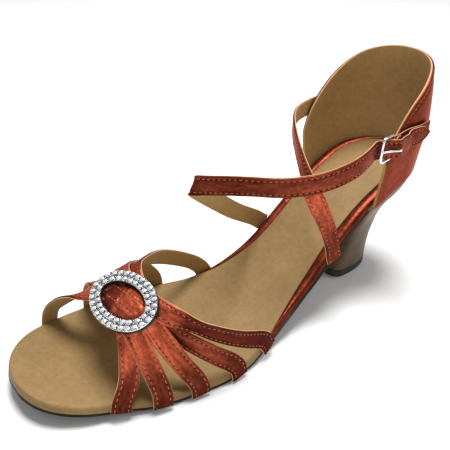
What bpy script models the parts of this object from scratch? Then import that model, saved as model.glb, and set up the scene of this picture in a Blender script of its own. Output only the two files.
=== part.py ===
"""A woman's ballroom dance sandal for the left foot, as an assembly of its real pieces.

Metres, +Z up. The toe points along -Y and the outer (lateral) side of the foot is +X.
Inside this file a place on the footbed is given by its run, the level distance from the
toe tip towards the heel, so that run 0 is the tip and run FOOTBED_LENGTH the heel's back.
"""

import math
from collections import namedtuple

import bmesh
import bpy
from mathutils import Vector

# Driving dimensions of the last
FOOTBED_LENGTH = 0.2145
BALL_WIDTH = 0.073
HEEL_RISE = 0.059
TOE_SPRING = 0.0072

# Thickness of each layer under the foot, and the gap kept between touching pieces
SOCK_THICK = 0.0009
BOARD_THICK = 0.0019
OUTSOLE_THICK = 0.0013
GAP = 0.0003
SOLE_GAP = 1.5 * GAP
SOCK_SETBACK = 0.0048
OUTSOLE_SETBACK = 0.0015
BREAST_CLEAR = 0.0024
END_STOP = 0.00012

# Straps
STRAP_WIDTH = 0.0081
STRAP_THICK = 0.0013
STACK_STEP = 0.00038
ANKLE_WIDTH = 0.0085

# Oval jewelled slide on the throat
SLIDE_LENGTH = 0.0378
SLIDE_WIDTH = 0.0248
SLIDE_RIM = 0.0053
SLIDE_THICK = 0.0022
SLIDE_RUN = 0.2093 * FOOTBED_LENGTH
SLIDE_SIDE = 0.005
SLIDE_HEIGHT = 0.0372
SLIDE_TILT = math.radians(28.6)
SLIDE_TURN = math.radians(5.0)

# Heel
HEEL_FRONT = 0.802 * FOOTBED_LENGTH
TIP_THICK = 0.0045
SEAT_MARGIN = 0.0021

# Counter, the closed cup round the heel
COUNTER_WALL = 0.0019
COUNTER_FRONT = 0.804 * FOOTBED_LENGTH
COUNTER_HEIGHT = 0.052

# Small strap buckle on the outer ankle, with the folded tab that holds it
WIRE_RADIUS = 0.0007
PRONG_RADIUS = 0.0005
BUCKLE_LENGTH = 0.0095
TAB_THICK = 0.0012
TAIL_DROP = 0.001
BUCKLE_SIDE = 0.4589 * BALL_WIDTH
BUCKLE_RUN = 0.760 * FOOTBED_LENGTH
BUCKLE_HEIGHT = 0.0835

# How much of the footbed's length its rounded toe and back take, and how square they are
TOE_ROUND = 0.168
TOE_POWER = 2.1
BACK_ROUND = 0.116
BACK_POWER = 2.2

# The footbed from above. run is a share of its length, centre and half are shares of the
# ball width: the middle line's offset to the outer side and the half width.
Plan = namedtuple("Plan", "run centre half")
PLAN = (
    Plan(0.000, -0.062, 0.436),
    Plan(0.075, -0.078, 0.436),
    Plan(0.131, -0.074, 0.440),
    Plan(0.197, -0.047, 0.485),
    Plan(0.263, -0.028, 0.507),
    Plan(0.329, -0.005, 0.512),
    Plan(0.394, 0.012, 0.488),
    Plan(0.460, 0.038, 0.415),
    Plan(0.526, 0.052, 0.356),
    Plan(0.610, 0.051, 0.318),
    Plan(0.704, 0.033, 0.303),
    Plan(0.798, 0.010, 0.308),
    Plan(0.892, -0.004, 0.314),
    Plan(1.000, 0.000, 0.310),
)

# The footbed from the side: rise is a share of HEEL_RISE above the tread.
Side = namedtuple("Side", "run rise")
SIDE = (
    Side(0.000, 0.000),
    Side(0.320, 0.000),
    Side(0.392, 0.000),
    Side(0.451, 0.036),
    Side(0.517, 0.119),
    Side(0.601, 0.280),
    Side(0.695, 0.525),
    Side(0.789, 0.737),
    Side(0.883, 0.881),
    Side(0.949, 0.958),
    Side(1.000, 1.000),
)
SPRING_RUN = 0.320

# The heel from its seat down: drop is a share of its height, front and back are runs as
# shares of the footbed length, half is the half width as a share of the seat's.
Level = namedtuple("Level", "drop front back half")
HEEL = (
    Level(0.00, 0.801, 1.010, 1.00),
    Level(0.07, 0.805, 1.006, 0.965),
    Level(0.20, 0.815, 0.988, 0.80),
    Level(0.38, 0.823, 0.963, 0.615),
    Level(0.56, 0.822, 0.944, 0.500),
    Level(0.76, 0.804, 0.929, 0.470),
    Level(0.90, 0.785, 0.922, 0.490),
    Level(1.00, 0.774, 0.919, 0.520),
)

# The counter's rim: run is a share of the footbed length, height a share of its full height.
Rim = namedtuple("Rim", "run height")
RIM = (
    Rim(0.802, 0.440),
    Rim(0.812, 0.560),
    Rim(0.830, 0.665),
    Rim(0.865, 0.775),
    Rim(0.910, 0.875),
    Rim(0.955, 0.955),
    Rim(1.000, 1.000),
)
# How far the counter stands out from the footbed over its height, as a share of its wall
Flare = namedtuple("Flare", "height out")
FLARE = (
    Flare(0.00, 0.26),
    Flare(0.20, 0.84),
    Flare(0.45, 1.58),
    Flare(0.70, 1.26),
    Flare(1.00, 0.32),
)

# Vamp bands, toe to instep. Runs are shares of the footbed length and sides are shares of
# the ball width. foot is where a band meets the footbed's edge and shoulder_side and
# shoulder_run are where it starts down. full is how round the descent is, where 1 is a
# straight chord and 2 a quarter ellipse, bow is how far it swings out sideways, and lift
# is how far its heelward edge is turned up (or down, below 0).
Descent = namedtuple("Descent", "foot shoulder_side shoulder_run full bow lift")
INNER = (
    Descent(0.134, -0.137, 0.194, 1.30, 0.000, -0.80),
    Descent(0.238, -0.165, 0.205, 1.35, 0.000, -0.50),
    Descent(0.317, -0.178, 0.219, 1.30, 0.000, -0.10),
    Descent(0.395, -0.178, 0.242, 1.20, -0.030, 0.50),
    Descent(0.500, -0.137, 0.261, 1.10, -0.078, 1.20),
)
OUTER = (
    Descent(0.138, 0.202, 0.182, 0.78, 0.058, -0.20),
    Descent(0.209, 0.229, 0.189, 1.00, 0.010, -0.10),
    Descent(0.284, 0.259, 0.220, 0.83, 0.018, 0.28),
    Descent(0.372, 0.225, 0.219, 0.92, 0.040, 1.20),
    Descent(0.460, 0.360, 0.243, 0.92, 0.066, 0.30),
)
# Where each band passes the middle of the slide, and how deep it lies in the stack there
Middle = namedtuple("Middle", "run layer")
MIDDLE = (
    Middle(0.1900, 2),
    Middle(0.1995, 1),
    Middle(0.2110, 0),
    Middle(0.2225, 1),
    Middle(0.2350, 2),
)

# Routes of the two ankle straps from the footbed's edge. side is a share of the ball width,
# run of the footbed's length and height of the heel's rise, and the last three columns are
# the way that the strap's width lies.
Route = namedtuple("Route", "side run height across along up")
INNER_ANKLE = (
    Route(-0.274, 0.6364, 0.559, 0.00, 0.82, 0.55),
    Route(-0.244, 0.6037, 0.641, 0.04, 0.75, 0.62),
    Route(-0.189, 0.5431, 0.793, 0.10, 0.68, 0.72),
    Route(-0.141, 0.4872, 0.958, 0.12, 0.66, 0.72),
    Route(-0.107, 0.4429, 1.093, 0.12, 0.60, 0.78),
    Route(-0.088, 0.4126, 1.190, 0.14, 0.45, 0.88),
    Route(-0.048, 0.4028, 1.237, 0.12, 0.28, 0.95),
    Route(0.034, 0.4149, 1.266, 0.06, 0.12, 0.99),
    Route(0.144, 0.4373, 1.295, 0.00, 0.05, 1.00),
    Route(0.260, 0.4615, 1.322, 0.00, 0.00, 1.00),
    Route(0.397, 0.5035, 1.336, -0.05, -0.02, 1.00),
    Route(0.500, 0.5641, 1.364, -0.08, -0.05, 0.98),
    Route(0.532, 0.6340, 1.403, -0.05, -0.05, 0.98),
    Route(0.493, 0.6900, 1.420, 0.00, 0.00, 1.00),
)
OUTER_ANKLE = (
    Route(0.373, 0.6657, 0.636, 0.00, 0.95, 0.30),
    Route(0.370, 0.6527, 0.763, 0.00, 0.85, 0.50),
    Route(0.349, 0.6387, 0.898, -0.04, 0.70, 0.70),
    Route(0.301, 0.6303, 1.017, -0.08, 0.55, 0.82),
    Route(0.219, 0.6317, 1.119, -0.10, 0.35, 0.93),
    Route(0.096, 0.6503, 1.207, -0.06, 0.15, 0.98),
    Route(-0.068, 0.6830, 1.288, 0.02, 0.00, 1.00),
    Route(-0.233, 0.7249, 1.347, 0.05, -0.05, 1.00),
    Route(-0.349, 0.7716, 1.373, 0.05, -0.08, 1.00),
)
# Where the straps leave the footbed's edge, how much further than square to the bed each
# leans towards the toe there, and where they and the tab lie on the counter, all as shares
# of the footbed's length
INNER_ROOT = 0.656
INNER_LEAN = 0.0030
OUTER_ROOT = 0.671
OUTER_LEAN = -0.0026
TAIL_RUNS = (0.858, 0.886, 0.909)
TAB_RUNS = (0.848, 0.876, 0.904, 0.928)
OUTER_END_RUNS = (0.834, 0.862, 0.890)


def sock_setback(run):
    """How far the tan sock stays inside the footbed's edge: hardly at all at the toes."""
    start, end = 0.43 * FOOTBED_LENGTH, 0.67 * FOOTBED_LENGTH
    share = min(1.0, max(0.0, (run - start) / (end - start)))
    return GAP + SOCK_SETBACK * share * share * (3.0 - 2.0 * share)


def read_table(rows, at, column):
    """A smooth reading of one column of a table whose first column is the place."""
    places = [row[0] for row in rows]
    values = [getattr(row, column) for row in rows]
    last = len(rows) - 1
    if at <= places[0]:
        return values[0]
    if at >= places[last]:
        return values[last]
    i = max(k for k in range(last) if places[k] <= at)
    steps = [
        (values[k + 1] - values[k]) / (places[k + 1] - places[k]) for k in range(last)
    ]

    def tangent(k):
        if k in (0, last):
            return steps[0] if k == 0 else steps[last - 1]
        before, after = steps[k - 1], steps[k]
        return 0.0 if before * after <= 0 else 2 * before * after / (before + after)

    span = places[i + 1] - places[i]
    s = (at - places[i]) / span
    return (
        values[i] * (1 + 2 * s) * (1 - s) ** 2
        + values[i + 1] * s * s * (3 - 2 * s)
        + span * tangent(i) * s * (1 - s) ** 2
        - span * tangent(i + 1) * s * s * (1 - s)
    )


def plan_half(run):
    """Half width of the footbed, with its rounded toe and back."""
    share = run / FOOTBED_LENGTH
    half = read_table(PLAN, share, "half")
    if share < TOE_ROUND:
        left = min(1.0, 1.0 - share / TOE_ROUND)
        half *= (1.0 - left**TOE_POWER) ** (1.0 / TOE_POWER)
    if share > 1.0 - BACK_ROUND:
        left = min(1.0, (share - 1.0 + BACK_ROUND) / BACK_ROUND)
        half *= (1.0 - left**BACK_POWER) ** (1.0 / BACK_POWER)
    return half * BALL_WIDTH


def plan_centre(run):
    return read_table(PLAN, run / FOOTBED_LENGTH, "centre") * BALL_WIDTH


# The level step over which a slope is measured
SMALL_STEP = 0.002 * FOOTBED_LENGTH
TREAD_TOP = SOCK_THICK + GAP + BOARD_THICK + SOLE_GAP + OUTSOLE_THICK


def bed_height(run):
    """Height of the sock's top over the floor."""
    share = run / FOOTBED_LENGTH
    spring = max(0.0, 1.0 - share / SPRING_RUN)
    return TREAD_TOP + HEEL_RISE * read_table(SIDE, share, "rise") + TOE_SPRING * spring**2


def bed_slope(run):
    rise = bed_height(run + SMALL_STEP) - bed_height(run - SMALL_STEP)
    return math.atan2(rise, 2 * SMALL_STEP)


def place(side, run, height):
    """A point of the shoe from its side, run and height."""
    return Vector((side, run - FOOTBED_LENGTH / 2, height))


def bed_point(run, side, depth):
    """The point at this depth, square to the bed, under its top."""
    slope = bed_slope(run)
    return place(
        side, run + depth * math.sin(slope), bed_height(run) - depth * math.cos(slope)
    )


def edge_normal(run, outer):
    """The level direction out of the footbed's edge, as (side, run)."""
    sign = 1.0 if outer else -1.0
    low = max(run - SMALL_STEP, 0.0)
    high = min(run + SMALL_STEP, FOOTBED_LENGTH)
    ahead = plan_centre(low) + sign * plan_half(low)
    behind = plan_centre(high) + sign * plan_half(high)
    return Vector(((high - low) * sign, ahead - behind)).normalized()


def edge_point(run, outer, out, depth):
    """A point beside the footbed's edge, out from it and at a depth under its top."""
    sign = 1.0 if outer else -1.0
    side = plan_centre(run) + sign * plan_half(run)
    normal = edge_normal(run, outer)
    at = bed_point(run, side, depth)
    return at + Vector((normal.x, normal.y, 0.0)) * out


def bed_runs(first, last, count):
    """Runs from first to last, closer together at the rounded toe and back."""
    shares = [0.5 - 0.5 * math.cos(math.pi * i / (count - 1)) for i in range(count)]
    mixed = [0.72 * s + 0.28 * i / (count - 1) for i, s in enumerate(shares)]
    return [first + (last - first) * m for m in mixed]


def material(name, colour, roughness, metallic=0.0):
    made = bpy.data.materials.new(name)
    made.use_nodes = True
    shader = made.node_tree.nodes["Principled BSDF"]
    shader.inputs["Base Color"].default_value = (*colour, 1.0)
    shader.inputs["Roughness"].default_value = roughness
    shader.inputs["Metallic"].default_value = metallic
    return made


def add_mesh(name, bm, look, smooth_angle=50):
    """Makes the object of a finished bmesh."""
    bmesh.ops.recalc_face_normals(bm, faces=bm.faces)
    mesh = bpy.data.meshes.new(name)
    bm.to_mesh(mesh)
    bm.free()
    mesh.materials.append(look)
    mesh.shade_smooth()
    mesh.set_sharp_from_angle(angle=math.radians(smooth_angle))
    made = bpy.data.objects.new(name, mesh)
    bpy.context.collection.objects.link(made)
    made.parent = shoe
    return made


def loft(name, loops, look, ring=False, smooth_angle=50):
    """A closed solid through loops of equally many points, capped unless it is a ring."""
    bm = bmesh.new()
    rows = [[bm.verts.new(p) for p in loop] for loop in loops]
    pairs = list(zip(rows, rows[1:]))
    if ring:
        pairs.append((rows[-1], rows[0]))
    for a, b in pairs:
        for i in range(len(a)):
            j = (i + 1) % len(a)
            bm.faces.new((a[i], a[j], b[j], b[i]))
    if not ring:
        bm.faces.new(rows[0][::-1])
        bm.faces.new(rows[-1])
    bmesh.ops.triangulate(bm, faces=bm.faces)
    return add_mesh(name, bm, look, smooth_angle)


def plate(name, runs, top, bottom, setback, look):
    """A layer of the bottom: it follows the bed between two depths, with eased edges."""
    ease = 0.35 * (bottom - top)
    loops = []
    for run in runs:
        half = max(plan_half(run) - setback(run), 2 * GAP)
        centre = plan_centre(run)
        corner = half - min(ease, half * 0.5)
        section = [(-half, top + ease), (-corner, top)]
        section += [(half * share, top) for share in (-0.5, 0.0, 0.5)]
        section += [(corner, top), (half, top + ease), (half, bottom)]
        section += [(half * share, bottom) for share in (0.5, 0.0, -0.5)]
        section += [(-half, bottom)]
        loops.append([bed_point(run, centre + x, depth) for x, depth in section])
    return loft(name, loops, look)


def relaxed(points, passes):
    """The same line with its corners softened and its ends kept."""
    line = [p.copy() for p in points]
    for _ in range(passes):
        line = (
            [line[0]]
            + [(a + 2 * b + c) / 4 for a, b, c in zip(line, line[1:], line[2:])]
            + [line[-1]]
        )
    return line


def resampled(points, count):
    """count points at even distances along a line."""
    lengths = [0.0]
    for a, b in zip(points, points[1:]):
        lengths.append(lengths[-1] + (b - a).length)
    out, k = [], 0
    for i in range(count):
        goal = lengths[-1] * i / (count - 1)
        while k < len(points) - 2 and lengths[k + 1] < goal:
            k += 1
        span = lengths[k + 1] - lengths[k]
        out.append(points[k].lerp(points[k + 1], (goal - lengths[k]) / span))
    return out


def slide_point(side, run, drop):
    """A point below the slide's plane, which rises towards the heel."""
    rise = math.tan(SLIDE_TILT) * (run - SLIDE_RUN)
    return place(side, run, SLIDE_HEIGHT + rise) + Vector(
        (0.0, math.sin(SLIDE_TILT), -math.cos(SLIDE_TILT))
    ) * drop


# The straps end at the board's lower edge, and lie this far out from the footbed's edge
STRAP_END_DEPTH = SOCK_THICK + GAP + BOARD_THICK
EDGE_OUT = 3 * GAP + STRAP_THICK / 2
FOOT_LEAD = 0.003
BAND_DROP = SLIDE_THICK / 2 + 2 * GAP + STRAP_THICK / 2


def between(rows, number):
    """The row of a table, or one between two of them, for a whole or broken number."""
    low = min(int(number), len(rows) - 2)
    share = number - low
    mixed = (a + (b - a) * share for a, b in zip(rows[low], rows[low + 1]))
    return type(rows[0])(*mixed)


def band_side(way, outer):
    """Points of one side of a band, from its shoulder down to its end."""
    run = way.foot * FOOTBED_LENGTH
    foot = edge_point(run, outer, EDGE_OUT, -FOOT_LEAD)
    end = edge_point(run, outer, EDGE_OUT, STRAP_END_DEPTH)
    shoulder_run = way.shoulder_run * FOOTBED_LENGTH
    top = slide_point(way.shoulder_side * BALL_WIDTH, shoulder_run, BAND_DROP)
    points = []
    steps = 14
    for i in range(steps + 1):
        angle = math.pi / 2 * i / steps
        level = math.sin(angle) ** (2.0 / way.full)
        fall = math.cos(angle) ** (2.0 / way.full)
        at = top.lerp(foot, level)
        at.x += way.bow * BALL_WIDTH * math.sin(math.pi * level)
        at.z = foot.z + (top.z - foot.z) * fall
        points.append(at)
    points.append(end)
    return points


def band_line(number, count):
    """The middle line of a band from its inner end over the throat to its outer end."""
    middle_run = between(MIDDLE, number).run * FOOTBED_LENGTH
    middle = slide_point(SLIDE_SIDE, middle_run, BAND_DROP)
    inner = band_side(between(INNER, number), False)
    outer = band_side(between(OUTER, number), True)
    line = inner[::-1] + [middle] + outer
    return resampled(relaxed(resampled(line, 90), 10), count)


def strip_loops(line, widths, out, width, thick):
    """Sections of a flat strap along a line, whose width lies along widths."""
    loops = []
    for i, at in enumerate(line):
        ahead, behind = line[min(i + 1, len(line) - 1)], line[max(i - 1, 0)]
        along = (ahead - behind).normalized()
        across = (widths[i] - widths[i].project(along)).normalized()
        normal = along.cross(across)
        centre = at + normal * out[i]
        half, rim = width[i] / 2, 0.3 * thick
        corners = (
            (-half, -thick / 2),
            (-half, thick / 2 - rim),
            (-half + rim, thick / 2),
            (half - rim, thick / 2),
            (half, thick / 2 - rim),
            (half, -thick / 2),
        )
        loops.append([centre + across * a + normal * b for a, b in corners])
    return loops


BAND_SECTIONS = 29


def vamp_band(name, number, look):
    """One satin band, which sinks in the stack under the slide as its layer says."""
    line = band_line(number, BAND_SECTIONS)
    near = 0.1 if number < len(MIDDLE) - 1 else -0.1
    other = band_line(number + near, BAND_SECTIONS)
    widths = relaxed([((b - a) / near).normalized() for a, b in zip(line, other)], 3)
    mid = (BAND_SECTIONS - 1) / 2
    near_foot = STRAP_WIDTH / 4
    slide_way = Vector((0.0, math.cos(SLIDE_TILT), math.sin(SLIDE_TILT)))
    out = []
    for i in range(BAND_SECTIONS):
        away = abs(i - mid) / mid
        outer = i > mid
        lift = OUTER[number].lift if outer else INNER[number].lift
        foot = (OUTER if outer else INNER)[number].foot * FOOTBED_LENGTH
        rim = edge_point(foot + near_foot, outer, 0, 0) - edge_point(foot, outer, 0, 0)
        settle_down = min(1.0, max(0.0, (away - 0.7) / 0.25))
        flat = max(0.0, 1.0 - (away / 0.42) ** 2)
        widths[i] = widths[i].lerp(slide_way, flat)
        widths[i] = widths[i].lerp(rim.normalized(), settle_down)
        turned = min(1.0, max(0.0, (away - 0.32) / 0.63))
        widths[i].z += lift * math.sin(math.pi * turned)
        share = min(1.0, away / 0.62)
        ease = 1.0 - share * share * (3 - 2 * share)
        out.append(-MIDDLE[number].layer * STACK_STEP * ease)
    width = [STRAP_WIDTH] * BAND_SECTIONS
    return loft(name, strip_loops(line, widths, out, width, STRAP_THICK), look)


def join(target, pieces):
    """Unites pieces into target, and hides them."""
    for piece in pieces:
        cut = target.modifiers.new("join_" + piece.name, "BOOLEAN")
        cut.operation = "UNION"
        cut.object = piece
        piece.hide_render = True
        piece.display_type = "WIRE"


def subtract(target, piece):
    """Cuts piece out of target, and hides it."""
    cut = target.modifiers.new("cut_" + piece.name, "BOOLEAN")
    cut.operation = "DIFFERENCE"
    cut.object = piece
    piece.hide_render = True
    piece.display_type = "WIRE"


def make_vamp(look):
    """The five bands, sewn into one where they bunch under the slide."""
    bands = [
        vamp_band("vamp_straps" if i == 2 else "band_%d" % (i + 1), i, look)
        for i in (2, 0, 1, 3, 4)
    ]
    join(bands[0], bands[1:])


def make_slide(look):
    """The oval metal slide: a rounded rim round an open window."""
    half_rim = SLIDE_RIM / 2
    crown = SLIDE_THICK / 2
    section = (
        (-half_rim, -crown),
        (-half_rim, crown * 0.2),
        (-half_rim * 0.7, crown),
        (half_rim * 0.7, crown),
        (half_rim, crown * 0.2),
        (half_rim, -crown),
    )
    loops = []
    count = 40
    for i in range(count):
        angle = 2 * math.pi * i / count
        long, short = SLIDE_LENGTH / 2 - half_rim, SLIDE_WIDTH / 2 - half_rim
        at = Vector((long * math.cos(angle), short * math.sin(angle), 0.0))
        out = Vector((short * math.cos(angle), long * math.sin(angle), 0.0)).normalized()
        loops.append([at + out * a + Vector((0.0, 0.0, b)) for a, b in section])
    slide = loft("throat_slide", loops, look, ring=True)
    slide.location = place(SLIDE_SIDE, SLIDE_RUN, SLIDE_HEIGHT)
    slide.rotation_mode = "ZYX"
    slide.rotation_euler = (SLIDE_TILT, 0.0, SLIDE_TURN)


SEAT_DEPTH = SOCK_THICK + BOARD_THICK + 2 * GAP
HEEL_POINTS = 28
FRONT_SHARE = 0.34


def heel_outline(front, back, half, centre):
    """A level outline of the heel: square at the breast and round at the back."""
    split = front + FRONT_SHARE * (back - front)
    points = []
    for i in range(HEEL_POINTS):
        angle = 2 * math.pi * (i + 0.5) / HEEL_POINTS
        s, c = math.sin(angle), math.cos(angle)
        power = 4.5 if c < 0 else 2.15
        reach = (abs(s) ** power + abs(c) ** power) ** (-1.0 / power)
        depth = (split - front) if c < 0 else (back - split)
        points.append((centre + half * s * reach, split + depth * c * reach))
    return points


def heel_section(level, bottom):
    """One section between the sloping seat and the flat bottom."""
    seat_half = plan_half(0.86 * FOOTBED_LENGTH) + SEAT_MARGIN
    centre = plan_centre(0.86 * FOOTBED_LENGTH)
    top = HEEL[0]
    seat = heel_outline(
        top.front * FOOTBED_LENGTH, top.back * FOOTBED_LENGTH, seat_half, centre
    )
    here = heel_outline(
        level.front * FOOTBED_LENGTH,
        level.back * FOOTBED_LENGTH,
        seat_half * level.half,
        centre,
    )
    loop = []
    for (_, seat_run), (side, run) in zip(seat, here):
        slope = bed_slope(min(seat_run, 0.985 * FOOTBED_LENGTH))
        seat_top = bed_height(seat_run) - SEAT_DEPTH / math.cos(slope)
        loop.append(place(side, run, seat_top + (bottom - seat_top) * level.drop))
    return loop


def heel_levels(count):
    for i in range(count):
        drop = i / (count - 1)
        yield Level(drop, *(read_table(HEEL, drop, c) for c in ("front", "back", "half")))


def make_heel(cover_look, tip_look):
    """The flared heel and the tip under it."""
    loops = [heel_section(level, TIP_THICK + GAP) for level in heel_levels(13)]
    loft("heel", loops, cover_look)
    foot = [Vector((p.x, p.y, 0.0)) for p in heel_section(HEEL[-1], 0.0)]
    ease = 0.13 * TIP_THICK
    middle = sum(foot, Vector()) / len(foot)
    tucked = [p.lerp(middle, 0.05) for p in foot]
    rise = Vector((0.0, 0.0, TIP_THICK))
    bottom = [p.copy() for p in tucked]
    lower = [p + Vector((0.0, 0.0, ease)) for p in foot]
    loft("heel_tip", [bottom, lower, [p + rise for p in foot]], tip_look)


def counter_line(count):
    """Footbed edge points round the back, from the inner front to the outer front."""
    runs = [COUNTER_FRONT]
    half_count = count // 2
    back = FOOTBED_LENGTH - END_STOP
    for i in range(1, half_count + 1):
        share = math.sin(math.pi / 2 * i / half_count)
        runs.append(COUNTER_FRONT + (back - COUNTER_FRONT) * share)
    line = [(run, False) for run in runs]
    line += [(run, True) for run in runs[::-1]]
    points = []
    for run, outer in line:
        sign = 1.0 if outer else -1.0
        side = plan_centre(run) + sign * plan_half(run)
        points.append((run, Vector((side, run, 0.0))))
    return points


def counter_frame(count=34):
    """Even stations round the counter: (run, level point, level way out)."""
    dense = counter_line(160)
    level = relaxed([p for _, p in dense], 6)
    even = resampled(level, count)
    frame = []
    for i, p in enumerate(even):
        ahead, behind = even[min(i + 1, count - 1)], even[max(i - 1, 0)]
        along = (ahead - behind).normalized()
        frame.append((p.y, p, Vector((along.y, -along.x, 0.0)) * -1.0))
    return frame


def counter_point(station, height, out):
    """A point of the counter's wall, at a height over its lower edge."""
    run, level, way = station
    share = height / COUNTER_HEIGHT
    stand = GAP + read_table(FLARE, share, "out") * COUNTER_WALL + out
    base = bed_height(min(run, FOOTBED_LENGTH)) - STRAP_END_DEPTH + GAP
    at = level + way * stand
    return place(at.x, at.y, base + height)


def counter_rim(run):
    return COUNTER_HEIGHT * read_table(RIM, run / FOOTBED_LENGTH, "height")


def make_counter(look):
    """The hollow heel cup, open at the top and the front."""
    loops = []
    shares = (0.0, 0.2, 0.42, 0.64, 0.84, 1.0)
    for station in counter_frame():
        rim = counter_rim(station[0])
        inner = [counter_point(station, rim * s, 0.0) for s in shares]
        outer = [counter_point(station, rim * s, COUNTER_WALL) for s in shares[::-1]]
        loops.append(inner + outer)
    loft("counter", loops, look)


def route_line(rows, start):
    """Points and width directions of a route that starts down the footbed's edge."""
    points = [p for p, _ in start]
    for r in rows:
        points.append(place(r.side * BALL_WIDTH, r.run * FOOTBED_LENGTH, r.height * HEEL_RISE))
    widths = [w for _, w in start] + [Vector((r.across, r.along, r.up)) for r in rows]
    return points, [w.normalized() for w in widths]


def smoothed(points, widths, count):
    """A smooth run through chosen points, with the width direction carried along."""
    steps = 8
    line, ways = [], []
    last = len(points) - 1
    for i in range(last):
        p0, p1, p2, p3 = (points[min(max(k, 0), last)] for k in range(i - 1, i + 3))
        for s in (k / steps for k in range(steps)):
            line.append(
                0.5
                * (
                    2 * p1
                    + (p2 - p0) * s
                    + (2 * p0 - 5 * p1 + 4 * p2 - p3) * s * s
                    + (3 * p1 - 3 * p2 + p3 - p0) * s**3
                )
            )
            ways.append(widths[i].lerp(widths[i + 1], s))
    line.append(points[last])
    ways.append(widths[last])
    line, ways = relaxed(line, 4), relaxed(ways, 8)
    lengths = [0.0]
    for a, b in zip(line, line[1:]):
        lengths.append(lengths[-1] + (b - a).length)
    out_line, out_ways, k = [], [], 0
    for i in range(count):
        goal = lengths[-1] * i / (count - 1)
        while k < len(line) - 2 and lengths[k + 1] < goal:
            k += 1
        s = (goal - lengths[k]) / (lengths[k + 1] - lengths[k])
        out_line.append(line[k].lerp(line[k + 1], s))
        out_ways.append(ways[k].lerp(ways[k + 1], s).normalized())
    return out_line, out_ways


def strap_root(run_share, lean_share, outer):
    """The start of an ankle strap, flat against the footbed's side and leaning forwards."""
    run = run_share * FOOTBED_LENGTH
    lean = lean_share * FOOTBED_LENGTH
    along = bed_point(run + SMALL_STEP, 0, 0) - bed_point(run, 0, 0)
    low = edge_point(run + lean, outer, EDGE_OUT + GAP, STRAP_END_DEPTH)
    high = edge_point(run - lean, outer, EDGE_OUT + GAP, -FOOT_LEAD / 2)
    return [(low, along.normalized()), (high, along.normalized())]


def station_at(share, outer):
    """The counter's station nearest to a run, on its outer or its inner side."""
    run = share * FOOTBED_LENGTH
    stations = counter_frame()
    half = len(stations) // 2
    side = stations[half:] if outer else stations[:half]
    return min(side, key=lambda station: abs(station[0] - run))


def on_counter(share, outer, height, lie):
    """A point beside the counter's outside, at a height over the floor."""
    station = station_at(share, outer)
    base = bed_height(station[0]) - STRAP_END_DEPTH
    return counter_point(station, height - base, COUNTER_WALL + lie)


BUCKLE_ALONG = Vector((-0.19, 0.98, -0.05)).normalized()
BUCKLE_UP = (Vector((0, 0, 1)) - Vector((0, 0, 1)).project(BUCKLE_ALONG)).normalized()
BUCKLE_OUT = BUCKLE_ALONG.cross(BUCKLE_UP)


def buckle_point(along, up, out):
    """A point beside the buckle's middle: along the strap, across it, and outwards."""
    at = place(BUCKLE_SIDE, BUCKLE_RUN, BUCKLE_HEIGHT)
    return at + BUCKLE_ALONG * along + BUCKLE_UP * up + BUCKLE_OUT * out


HALF_BUCKLE = BUCKLE_LENGTH / 2
TAB_BEND = WIRE_RADIUS + 1.5 * GAP + TAB_THICK / 2
TAB_LIE = (TAB_THICK + GAP) / 2
STRAP_UNDER = -(WIRE_RADIUS + 1.5 * GAP + STRAP_THICK / 2)
STRAP_OVER = TAB_BEND + TAB_THICK / 2 + GAP + STRAP_THICK / 2
STRAP_HALF = STRAP_THICK / 2


def rod(points, radius, sides=8):
    """Sections of a round wire along points."""
    loops = []
    for i, at in enumerate(points):
        ahead, behind = points[min(i + 1, len(points) - 1)], points[max(i - 1, 0)]
        along = (ahead - behind).normalized()
        across = (BUCKLE_UP - BUCKLE_UP.project(along)).normalized()
        other = along.cross(across)
        angles = (2 * math.pi * k / sides for k in range(sides))
        loops.append(
            [at + (across * math.cos(a) + other * math.sin(a)) * radius for a in angles]
        )
    return loops


def make_buckle(look):
    """The wire frame with its prong, which goes through the strap's hole."""
    half_up = ANKLE_WIDTH / 2 + 2 * GAP + WIRE_RADIUS
    count = 32
    loops = []
    for i in range(count):
        angle = 2 * math.pi * (i + 0.5) / count
        c, s = math.cos(angle), math.sin(angle)
        reach = (abs(c) ** 6 + abs(s) ** 6) ** (-1 / 6)
        at = buckle_point(HALF_BUCKLE * c * reach, half_up * s * reach, 0.0)
        out = (BUCKLE_ALONG * c / HALF_BUCKLE + BUCKLE_UP * s / half_up).normalized()
        rim = (2 * math.pi * (k + 0.5) / 8 for k in range(8))
        loops.append(
            [at + (out * math.cos(a) + BUCKLE_OUT * math.sin(a)) * WIRE_RADIUS for a in rim]
        )
    frame = loft("strap_buckle", loops, look, ring=True)
    rise = STRAP_OVER + STRAP_HALF + GAP + PRONG_RADIUS
    prong = [
        buckle_point(HALF_BUCKLE, 0, 0),
        buckle_point(HALF_BUCKLE * 0.98, 0, STRAP_OVER * 0.6),
        buckle_point(HALF_BUCKLE * 0.87, 0, rise * 0.96),
        buckle_point(HALF_BUCKLE * 0.58, 0, rise * 1.04),
        buckle_point(0.0, 0, rise * 0.66),
        buckle_point(-HALF_BUCKLE, 0, WIRE_RADIUS * 1.2),
        buckle_point(-HALF_BUCKLE * 1.17, 0, WIRE_RADIUS),
    ]
    join(frame, [loft("prong", rod(prong, PRONG_RADIUS), look)])


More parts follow.
